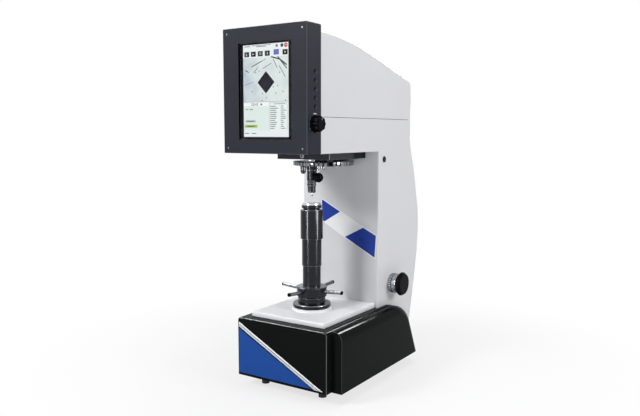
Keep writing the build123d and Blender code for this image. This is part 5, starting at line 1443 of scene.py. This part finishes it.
@dataclass
class LoadSelector:
    """The knob on the right wall that picks the test load, over its graduated dial.

    Args:
        y: How far its axis is behind the base's front.
        h: The axis's height.
        dial_x: Where the dial starts, right of the screw's axis.
        dial_radius: The dial's radius.
        numbers: How many loads its numbers stand for.
    """

    y: float = 363.5
    h: float = 213.5
    dial_x: float = 136.8
    dial_radius: float = 26.5
    numbers: int = 6

    def build(self) -> None:
        """Dresses the selector and engraves its dial."""
        skin("selector_bushing", Body.FRAME, Slot.CHROME, [CHROMED_DIAL], 0.5)
        skin("selector_dial", Body.LOAD_SELECTOR, Slot.CHROME, [CHROMED_DIAL], 0.5)
        skin("selector_knob", Body.LOAD_SELECTOR, Slot.BLACK_PLASTIC, [PHENOLIC], 0.6)
        paint(GROUND_STEEL, "selector_shaft")
        inner, outer, wide = 26.0, self.dial_radius + 0.1, 1.3
        # Thin black rings in the gaps beside the dial, as painted shade.
        for title, body, x in (
            ("bushing_groove_painted_shade", Body.FRAME, self.dial_x - 1.3),
            ("dial_groove_painted_shade", Body.LOAD_SELECTOR, self.dial_x + 9.0),
        ):
            seat = Facing.RIGHT.seat(x, self.y, self.h)
            groove = turned(title, rectangle(inner, 0.0, outer, wide), seat, BLACK_INK_AND_PAINTED_SHADE, sides=64)
            hand_over(groove, body, Slot.CHROME)
        self.graduations()
        self.dial_numbers()

    def graduations(self) -> None:
        """Sets the dial's engraved lines and the coarser grip lines of the fixed ring behind it."""
        for title, body, x, count, length, thick in (
            ("dial_fine_lines", Body.LOAD_SELECTOR, self.dial_x + 3.4, 48, 4.4, 1.0),
            ("dial_long_lines", Body.LOAD_SELECTOR, self.dial_x + 4.9, 12, 7.4, 1.7),
            ("ring_grip_lines", Body.FRAME, self.dial_x - 5.6, 30, 8.0, 1.8),
        ):
            radius = self.dial_radius - 0.12
            sizes = {"Count": count, "Radius": radius, "Sides": 4, "Thickness": thick, "Length": length, "Lean": 0.0}
            lines = grown(title, RING, Facing.RIGHT.seat(x, self.y, self.h), BLACK_INK_AND_PAINTED_SHADE, **sizes)
            hand_over(lines, body, Slot.CHROME)

    def dial_numbers(self) -> None:
        """Engraves the numbers of the loads round the dial."""
        quarter = radians(90.0)
        upright = Matrix.Rotation(quarter, 4, "Y") @ Matrix.Rotation(quarter, 4, "Z")
        for step in range(self.numbers):
            angle = 360.0 / self.numbers * step
            ((right, up),) = arc(self.dial_radius + 0.02, [angle])
            seat = Facing.RIGHT.seat(self.dial_x + 10.3, self.y + right, self.h + up)
            tilt = Matrix.Rotation(radians(angle), 4, "Z") @ upright
            number = digits(f"dial_number_{step}", str(step + 1), 3.4, 0.15, seat @ tilt, BLACK_INK_AND_PAINTED_SHADE, 0.05)
            hand_over(number, Body.LOAD_SELECTOR, Slot.CHROME)


# --- The display head ---


@dataclass
class DisplayHead:
    """The charcoal head on the arm: bezel, glass, the lit screen behind it, buttons and brightness knob.

    Args:
        side_x: How far the head's right side is from the screw's axis.
        glass: The glass's left, bottom, right and top.
        screen: The lit picture's left, bottom, right and top.
        knob: How far behind the base's front, and how high, the brightness knob's axis is.
        bezel_y: Where the bezel's face is.
        glass_front_y: Where the glass's face is.
        glass_depth: The glass's thickness.
        panel_y: Where the lit panel's face is.
        screws: Where the middle of the bezel's screws is: right, back and up of the datum.
    """

    side_x: float = 125.1
    glass: tuple[float, float, float, float] = (-70.8, 622.6, 81.3, 850.9)
    screen: tuple[float, float, float, float] = (-63.4, 628.5, 71.6, 846.5)
    knob: tuple[float, float] = (-27.0, 659.0)
    bezel_y: float = -59.1
    glass_front_y: float = -57.8
    glass_depth: float = 0.8
    panel_y: float = -56.3
    screws: tuple[float, float, float] = (0.0, -57.3, 738.85)

    def build(self) -> None:
        """Dresses the head and draws its screen."""
        skin("head_shell", Body.FRAME, Slot.CHARCOAL, [CHARCOAL_POWDER], 0.8)
        # The bezel's rounded border takes the lighter coat, a painted highlight.
        skin("head_bezel", Body.FRAME, Slot.CHARCOAL, [CHARCOAL_POWDER, CHARCOAL_PAINTED_HIGHLIGHT], 1.0, zone=rim, edge=1)
        paint(BLACK_ABS, "lcd_panel")
        paint(SOLDER_MASK, "control_board")
        self.cover()
        self.bezel_screws()
        self.buttons()
        self.brightness_knob()
        self.brightness_scale()
        Screen(self.screen, self.panel_y).build()

    def cover(self) -> None:
        """Cuts the glass and prints the black border behind it."""
        left, bottom, right, top = self.glass
        whole, inner = rectangle(*self.glass), rectangle(*self.screen)
        seat = Facing.FRONT.seat(0, self.glass_front_y + self.glass_depth, 0)
        glass = plates("display_cover_glass", [whole], 0.0, self.glass_depth, seat, COVER_GLASS)
        rounds = glass.modifiers.new("ground_edge", "BEVEL")
        rounds.width, rounds.segments = 0.25 * MM, 2
        hand_over(settled(glass), Body.FRAME, Slot.GLASS, "display_glass")
        border = [[whole[i], whole[(i + 1) % 4], inner[(i + 1) % 4], inner[i]] for i in range(4)]
        hinge_side = [rectangle(left - 5.6, bottom - 1.4, left - 0.4, top + 1.4)]
        for title, outlines, depth, y in (
            ("display_border", border, 0.3, self.panel_y),
            ("window_side_film", hinge_side, 0.2, self.bezel_y),
        ):
            film = plates(title, outlines, 0.0, depth, Facing.FRONT.seat(0, y, 0), MASK_INK)
            hand_over(film, Body.FRAME, Slot.GLASS)

    def bezel_screws(self) -> None:
        """Drives a socket screw into each corner of the bezel."""
        sizes = {"Width": 224.2, "Height": 275.3, "Head": 4.6, "Rise": 1.8, "Socket": 2.4}
        # The screws take the lighter rubbed finish, partly a painted highlight.
        screws = grown("bezel_socket_screws", SCREWS, Facing.FRONT.seat(*self.screws), RUBBED_EDGE_AND_PAINTED_HIGHLIGHT, **sizes)
        hand_over(screws, Body.FRAME, Slot.STEEL, "bezel_screws")

    def buttons(self) -> None:
        """Dresses the five side buttons and sets each in a thin polished ring with a painted highlight on its lower
        right.
        """
        bodies = (Body.BUTTON_1, Body.BUTTON_2, Body.BUTTON_3, Body.BUTTON_4, Body.BUTTON_5)
        profile = [(3.9, 0.0), (5.3, 0.0), (5.3, 0.25), (4.9, 0.6), (4.3, 0.6), (3.9, 0.3)]
        # A painted highlight: a light crescent on the lower right of each ring.
        painted_crescent = band(arc(4.65, range(-86, 9, 8)), 0.7)
        for number, body in enumerate(bodies, start=1):
            node = f"side_button_{number}"
            low, high = (Vector(corner) - DATUM.at(0, 0, 0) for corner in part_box(node))
            middle = (low + high) / 2 / MM
            skin(node, body, Slot.MATTE_BLACK, [BLACK_ABS], 0.4)
            seat = Facing.RIGHT.seat(self.side_x, middle.y, middle.z)
            hand_over(turned(f"button_{number}_ring", profile, seat, PHENOLIC), Body.FRAME, Slot.CHARCOAL)
            glint = plates(f"button_{number}_crescent_highlight", [painted_crescent], 0.55, 0.72, seat, RUBBED_EDGE_AND_PAINTED_HIGHLIGHT)
            hand_over(glint, Body.FRAME, Slot.CHARCOAL)

    def brightness_knob(self) -> None:
        """Makes the brightness knob: a lobed grip on a thin skirt, with a white index line on its face."""
        seat = Facing.RIGHT.seat(self.side_x, *self.knob)
        skirt = [(0.0, -11.0), (3.6, -11.0), (3.6, 0.3), (20.0, 0.3), (20.4, 0.7), (20.4, 2.6), (19.5, 3.4), (0.0, 3.4)]
        base = turned("knob_skirt", skirt, seat, PHENOLIC, sides=64)
        hand_over(base, Body.BRIGHTNESS, Slot.BLACK_PLASTIC, "brightness_knob")
        profile = [(0.0, 3.2), (17.6, 3.2), (17.2, 15.5), (16.4, 18.6), (14.6, 20.2), (6.0, 20.3), (0.0, 19.8)]
        grip = turned("knob_grip", profile, seat, PHENOLIC, sides=96, lobes=(8, 0.075))
        hand_over(grip, Body.BRIGHTNESS, Slot.BLACK_PLASTIC)
        index = plates("knob_index", [rectangle(-0.6, 8.0, 0.6, 14.4)], 20.0, 20.4, seat, PRINT_INK)
        hand_over(index, Body.BRIGHTNESS, Slot.BLACK_PLASTIC)

    def brightness_scale(self) -> None:
        """Prints the short mark above the knob and the scale's ticks round it."""
        mark = band(arc(23.6, range(74, 107, 4)), 2.8)
        angles = (*range(-60, 61, 30), *range(120, 241, 30))
        ticks = [band(arc(21.6, [a]) + arc(23.2, [a]), 0.6) for a in angles]
        seat = Facing.RIGHT.seat(self.side_x, *self.knob)
        marks = plates("brightness_marks", [mark, *ticks], 0.0, 0.12, seat, PRINT_INK)
        hand_over(marks, Body.FRAME, Slot.CHARCOAL)


@dataclass
class Screen:
    """What the lit screen shows: plain tool tiles, a specimen's surface with its dent, and tables.

    Args:
        field: The lit picture's left, bottom, right and top.
        panel_y: Where the panel's face is.
        ground: How far the lowest layer stands off the panel.
        step: How far each layer stands above the one below.
        scratches: The specimen's scratches, each a line in shares of the picture and its width in millimetres.
        pits: The places of its pits, in shares of the picture.
    """

    field: tuple[float, float, float, float]
    panel_y: float
    ground: float = 0.08
    step: float = 0.07

    scratches: tuple[tuple[Outline, float], ...] = (
        (((0.19, 0.237), (0.42, 0.181)), 2.0),
        (((0.4, 0.186), (0.508, 0.16)), 1.1),
        (((0.442, 0.261), (0.634, 0.209)), 1.2),
        (((0.235, 0.303), (0.333, 0.247)), 1.3),
        (((0.05, 0.271), (0.126, 0.295)), 2.0),
        (((0.627, 0.141), (0.813, 0.172), (0.965, 0.236)), 3.0),
        (((0.769, 0.142), (0.965, 0.272)), 2.6),
        (((0.671, 0.168), (0.758, 0.259)), 1.4),
        (((0.802, 0.24), (0.932, 0.363)), 1.3),
        (((0.028, 0.432), (0.213, 0.404)), 0.8),
    )
    pits: Outline = (
        (0.192, 0.505), (0.769, 0.453), (0.671, 0.462), (0.726, 0.529), (0.878, 0.516), (0.431, 0.529),
        (0.518, 0.575), (0.42, 0.605), (0.932, 0.608), (0.355, 0.285), (0.285, 0.303), (0.813, 0.31),
    )  # fmt: skip

    @property
    def size(self) -> tuple[float, float]:
        """The picture's width and height."""
        return self.field[2] - self.field[0], self.field[3] - self.field[1]

    def seat(self, u: float = 0.0, v: float = 0.0) -> Matrix:
        """Seats a mesh at shares u and v of the picture, from its upper left corner."""
        width, height = self.size
        return Facing.FRONT.seat(self.field[0] + u * width, self.panel_y, self.field[3] - v * height)

    def spots(self, *shares: tuple[float, float]) -> Corners:
        """Gives places on the panel from their shares of the picture, across and down."""
        width, height = self.size
        return [(u * width, -v * height) for u, v in shares]

    def disc(self, u: float, v: float, radius: float, sides: int = 24) -> Corners:
        """Gives a circle's outline about a place in shares of the picture."""
        return round_outline(*self.spots((u, v))[0], radius, sides)

    def hoop(self, u: float, v: float, radius: float) -> Corners:
        """Gives the outline of a thin ring about a place in shares of the picture."""
        points = self.disc(u, v, radius, 20)
        return band([*points, points[0]], 0.8)

    def tile(self, left: float, top: float, right: float, bottom: float) -> Corners:
        """Gives a rectangle from its shares of the picture."""
        return self.spots((left, bottom), (right, bottom), (right, top), (left, top))

    def lay(self, title: str, layer: int, finish: LitPixels, *outlines: Outline) -> None:
        """Lays flat shapes on the panel.

        Args:
            title: The piece's name, without its first word.
            layer: How many layers lie below it.
            finish: Its finish.
            *outlines: The shapes.
        """
        thickness = self.ground + self.step * layer
        piece = plates(f"screen_{title}", outlines, 0.0, thickness, self.seat(), finish)
        hand_over(piece, Body.FRAME, Slot.DISPLAY)

    def build(self) -> None:
        """Draws the picture, from its ground up."""
        self.lay("ground", 0, lit("white", "#F3F8F8", "#EAF3F1"), self.tile(0, 0, 1, 1))
        self.lay("lower_panel", 1, lit("pale_green", "#DDEFE8", "#E6F3EE"), self.tile(0.0, 0.665, 0.565, 0.93))
        self.header()
        self.specimen()
        self.tables()

    def header(self) -> None:
        """Draws the title lines, the three round signs and the row of tool tiles."""
        tile = self.tile
        lines = (tile(0.03, 0.012, 0.16, 0.02), tile(0.2, 0.008, 0.62, 0.014), tile(0.3, 0.02, 0.52, 0.027))
        self.lay("title_lines", 1, lit("slate", "#5F6B86", "#76819A"), *lines)
        for title, u, colour, radius in (
            ("sign_grey", 0.75, "#8480A8", 3.6),
            ("sign_teal", 0.862, "#27515E", 4.2),
            ("sign_red", 0.945, "#DE3B33", 5.0),
        ):
            self.lay(title, 1, lit(title, colour), self.disc(u, 0.028, radius))
        white = lit("glyph", "#F7FBFB", "#FFFFFF")
        self.lay("sign_red_glyph", 2, white, tile(0.925, 0.0265, 0.965, 0.031))
        tiles = [tile(u, 0.073, u + 0.108, 0.128) for u in (0.03, 0.18, 0.335, 0.49, 0.875)]
        self.lay("tool_tiles", 1, lit("black", "#0B0F10", "#12171A"), *tiles)
        self.lay("tool_tile_blue", 1, lit("blue", "#4656B4", "#5163C2"), tile(0.685, 0.066, 0.795, 0.122))
        glyphs = (
            tile(0.066, 0.088, 0.076, 0.114),
            tile(0.066, 0.109, 0.096, 0.114),
            self.spots((0.216, 0.094), (0.252, 0.101), (0.216, 0.109)),
            tile(0.54, 0.087, 0.549, 0.114),
            self.spots((0.914, 0.087), (0.946, 0.101), (0.914, 0.115), (0.927, 0.101)),
        )
        self.lay("tool_glyphs", 2, white, *glyphs)
        self.lay("tool_ring", 2, white, self.hoop(0.389, 0.1005, 2.4))
        self.lay("tool_ring_blue", 2, lit("light_blue", "#A9B4EC", "#B7C1F2"), self.hoop(0.74, 0.094, 3.4))

    def specimen(self) -> None:
        """Draws the magnified specimen: polished metal with scratches, pits and the dent's dark square."""
        width, height = self.size
        left = DATUM.x + self.field[0] * MM
        metal = LitSpecimen("lit_specimen_pixels", "#E2EDEA", 0.4, "#B4C2D4", left=left)
        self.lay("specimen", 1, metal, self.tile(0.0, 0.14, 1.0, 0.62))
        self.lay("specimen_frame", 2, lit("frame", "#8FA0A2", "#97A8AA"), self.tile(0.0, 0.616, 1.0, 0.62))
        field = {"Width": 0.92 * width, "Height": 0.44 * height, "Density": 0.004}
        marks = {"Length": 2.2, "Stroke": 0.8, "Angle": 0.6, "Spread": 1.5, "Seed": 11}
        grey = lit("dust", "#8E9CA2", "#A3B0B5")
        dust = grown("screen_dust", STROKES, self.seat(0.5, 0.38), grey, **field, **marks)
        hand_over(dust, Body.FRAME, Slot.DISPLAY)
        scratches = [band(self.spots(*points), wide) for points, wide in self.scratches]
        self.lay("scratches", 2, lit("scratch", "#1F2A34", "#35424C"), *scratches)
        pits = [self.disc(u, v, 1.5, 7) for u, v in self.pits]
        self.lay("pits", 2, lit("pit", "#2B363D", "#46545B"), *pits)
        ((x, y),) = self.spots((0.51, 0.41))
        # The dent is a little taller than it is wide.
        tall = 1.04
        for title, half, colour, layer in (
            ("dent_burr", 27.4, "#F2F7F6", 2),
            ("dent", 25.6, "#0C0A1C", 3),
            ("dent_heart", 4.0, "#1D1A4A", 4),
        ):
            outline = [(x + half * a, y + half * b * tall) for a, b in ((1, 0), (0, 1), (-1, 0), (0, -1))]
            self.lay(title, layer, lit(title, colour), outline)

    def tables(self) -> None:
        """Draws the reading, the buttons under it and the two-column table."""
        width, _ = self.size
        tile = self.tile
        self.lay("reading_bar", 2, lit("bar", "#FFFFFF", "#F5F9F9"), tile(0.0, 0.628, 0.56, 0.662))
        ink = lit("reading", "#0C1216")
        reading = digits("screen_reading", "524.8", 6.6, 0.36, self.seat(0.25, 0.646), ink)
        self.lay("reading_unit", 3, ink, tile(0.385, 0.638, 0.42, 0.654))
        hand_over(reading, Body.FRAME, Slot.DISPLAY)
        self.lay("grey_button", 2, lit("grey_button", "#AEB9C2", "#BBC5CC"), tile(0.04, 0.816, 0.27, 0.841))
        self.lay("green_button", 2, lit("green", "#9DBB4E", "#AFCB62"), tile(0.02, 0.868, 0.31, 0.898))
        self.lay("green_button_line", 3, lit("olive", "#33461B"), tile(0.08, 0.879, 0.25, 0.888))
        text = lit("text", "#39444A", "#4A565C")
        small = (
            tile(0.05, 0.695, 0.1, 0.703),
            tile(0.14, 0.695, 0.21, 0.703),
            tile(0.03, 0.957, 0.12, 0.965),
            tile(0.18, 0.957, 0.28, 0.965),
            tile(0.07, 0.825, 0.23, 0.832),
        )
        self.lay("small_lines", 3, text, *small)
        rules = (
            tile(0.58, 0.628, 0.97, 0.631),
            tile(0.58, 0.628, 0.585, 0.93),
            tile(0.965, 0.628, 0.97, 0.93),
            tile(0.68, 0.64, 0.93, 0.648),
        )
        self.lay("table_lines", 2, lit("table_line", "#8D9AA0", "#9BA7AC"), *rules)
        for title, u, shortest, longest, seed in (("labels", 0.6, 0.07, 0.17, 5), ("values", 0.83, 0.04, 0.11, 8)):
            reach = {"Shortest": shortest * width, "Longest": longest * width}
            rows = {"Count": 12, "Pitch": 4.7, "Bar": 1.5, "Seed": seed}
            column = grown(f"screen_table_{title}", ROWS, self.seat(u, 0.67), text, **reach, **rows)
            hand_over(column, Body.FRAME, Slot.DISPLAY)


# --- Optics and electrics ---


@dataclass
class Electrics:
    """The mains inlet and switch on the left wall, and the supply and optics inside."""

    def build(self) -> None:
        """Dresses the inlet and switch, and finishes what is inside."""
        skin("mains_inlet", Body.FRAME, Slot.MATTE_BLACK, [BLACK_ABS], 0.3)
        skin("power_switch", Body.POWER_SWITCH, Slot.MATTE_BLACK, [BLACK_ABS], 0.3)
        paint(GROUND_STEEL, "power_supply")
        paint(BLACKED_STEEL, "optical_tube")
        paint(BLACK_ABS, "camera")


# --- The studio ---


def aimed(title: str, data: bpy.types.ID, spot: Sequence[float], gaze: Vector) -> bpy.types.Object:
    """Stands a camera or a lamp in the scene.

    Args:
        title: Its name.
        data: The camera's or the lamp's data.
        spot: Its place, in metres.
        gaze: The way it looks.

    Returns:
        The object.
    """
    made = bpy.data.objects.new(title, data)
    made.location = spot
    made.rotation_euler = gaze.to_track_quat("-Z", "Y").to_euler()
    bpy.context.scene.collection.objects.link(made)
    return made


@dataclass
class Studio:
    """The white sweep, the soft lamps and the camera.

    Args:
        eye: The camera's place, in metres.
        gaze: The way it looks.
        lens: Its focal length, in millimetres.
        sensor: Its sensor's width, in millimetres.
        sky: The strength of the even light from all round.
        floor_radius: The floor's radius, in metres.
    """

    eye: tuple[float, float, float] = (1.02145, -1.61855, 0.6701)
    gaze: tuple[float, float, float] = (-0.5491, 0.8288, -0.1073)
    lens: float = 39.26
    sensor: float = 36.0
    sky: float = 0.23
    floor_radius: float = 6.0

    def build(self) -> None:
        """Sets up the studio."""
        self.camera()
        self.world()
        self.floor()
        self.lamps()
        bpy.context.scene.view_settings.view_transform = "Standard"

    def camera(self) -> None:
        """Stands the camera in its place."""
        data = bpy.data.cameras.new("camera")
        data.lens, data.sensor_width, data.clip_end = self.lens, self.sensor, 50.0
        bpy.context.scene.camera = aimed("camera", data, self.eye, Vector(self.gaze))

    def seen(self, tree: Tree, *kinds: str) -> Socket:
        """Tells rays of these kinds from all others.

        Args:
            tree: The node tree.
            *kinds: The kinds, such as Camera and Glossy.

        Returns:
            1 for such a ray and 0 for any other.
        """
        rays = add_node(tree, "ShaderNodeLightPath").outputs
        share, *others = (rays[f"Is {kind} Ray"] for kind in kinds)
        for other in others:
            share = add_node(tree, "ShaderNodeMath", {0: share, 1: other}, operation="MAXIMUM").outputs[0]
        return share

    def world(self) -> None:
        """Lights the room evenly, and shows white to the camera, mirrors and glass."""
        world = bpy.data.worlds.new("studio")
        world.use_nodes = True
        tree = world.node_tree
        tree.nodes.clear()
        shown = self.seen(tree, "Camera", "Glossy", "Transmission")
        light = add_node(tree, "ShaderNodeBackground", {"Color": linear("#F4F6FA"), "Strength": self.sky})
        white = add_node(tree, "ShaderNodeBackground", {"Color": linear("#FFFFFF"), "Strength": 1.0})
        mix = add_node(tree, "ShaderNodeMixShader", {0: shown, 1: light, 2: white})
        add_node(tree, "ShaderNodeOutputWorld", {"Surface": mix})
        bpy.context.scene.world = world

    def floor(self) -> None:
        """Lays the pale floor, which keeps the tester's soft shadow and turns plain white further out."""
        shape = bmesh.new()
        bmesh.ops.create_circle(shape, cap_ends=True, segments=96, radius=self.floor_radius)
        floor = linked("studio_floor", shape)
        paper_sweep = empty_material("white_paper_sweep")
        tree = paper_sweep.node_tree
        place = add_node(tree, "ShaderNodeTexCoord").outputs["Object"]
        far = add_node(tree, "ShaderNodeVectorMath", {0: place}, operation="LENGTH").outputs["Value"]
        # The shadow starts to fade this far from the origin, and is gone at the second distance, in metres.
        near_edge, far_edge = 0.35, 1.1
        edge = {"Value": far, "From Min": near_edge, "From Max": far_edge}
        fade = add_node(tree, "ShaderNodeMapRange", edge, interpolation_type="SMOOTHSTEP")
        # Even near the tester, most of the paper's white is its own light, so the shadow stays pale.
        own_light = 0.72
        glow_share = add_node(tree, "ShaderNodeMapRange", {"Value": fade, "To Min": own_light, "To Max": 1.0})
        seen = self.seen(tree, "Camera", "Glossy")
        share = add_node(tree, "ShaderNodeMath", {0: glow_share, 1: seen}, operation="MULTIPLY")
        paper = add_node(tree, "ShaderNodeBsdfDiffuse", {"Color": linear("#EDEDED")})
        glow = add_node(tree, "ShaderNodeEmission", {"Color": linear("#FFFFFF"), "Strength": 1.0})
        mix = add_node(tree, "ShaderNodeMixShader", {0: share, 1: paper, 2: glow})
        add_node(tree, "ShaderNodeOutputMaterial", {"Surface": mix})
        floor.data.materials.append(paper_sweep)

    def lamps(self) -> None:
        """Hangs the soft boxes that light the tester and the narrow strips that only its gloss shows."""
        for title, spot, aim, wide, tall, power, gloss_only in (
            ("key_softbox", (-0.95, -2.15, 1.8), (0.0, -0.05, 0.4), 0.8, 0.8, 49.0, False),
            ("fill_softbox", (2.4, -0.1, 1.3), (0.0, 0.0, 0.45), 1.0, 1.0, 29.0, False),
            ("top_softbox", (0.2, 0.3, 2.6), (0.0, 0.0, 0.5), 1.4, 1.4, 23.0, False),
            ("sleeve_left_strip", (-0.5, -2.5, 0.55), (0.0, -0.1, 0.45), 0.16, 1.8, 48.0, True),
            ("sleeve_right_strip", (2.5, 0.1, 0.55), (0.0, -0.1, 0.45), 0.2, 1.8, 50.0, True),
            ("rear_strip", (0.1, 1.6, 1.5), (0.15, 0.0, 0.15), 0.5, 0.3, 45.0, True),
            ("upper_left_strip", (-1.15, -0.45, 1.95), (0.0, -0.2, 0.15), 0.3, 1.6, 60.0, True),
        ):
            data = bpy.data.lights.new(title, "AREA")
            data.shape, data.size, data.size_y, data.energy = "RECTANGLE", wide, tall, power
            lamp = aimed(title, data, spot, Vector(aim) - Vector(spot))
            lamp.visible_diffuse = not gloss_only


def main() -> None:
    """Builds the tester's dress and its studio."""
    logging.basicConfig(level=logging.INFO, format="%(message)s")
    for kind in (Studio, Base, Column, ElevatingScrew, Turret, LoadTrain, LoadSelector, DisplayHead, Electrics):
        kind().build()
        LOG.info("%s done", kind.__name__)


if __name__ == "__main__":
    main()
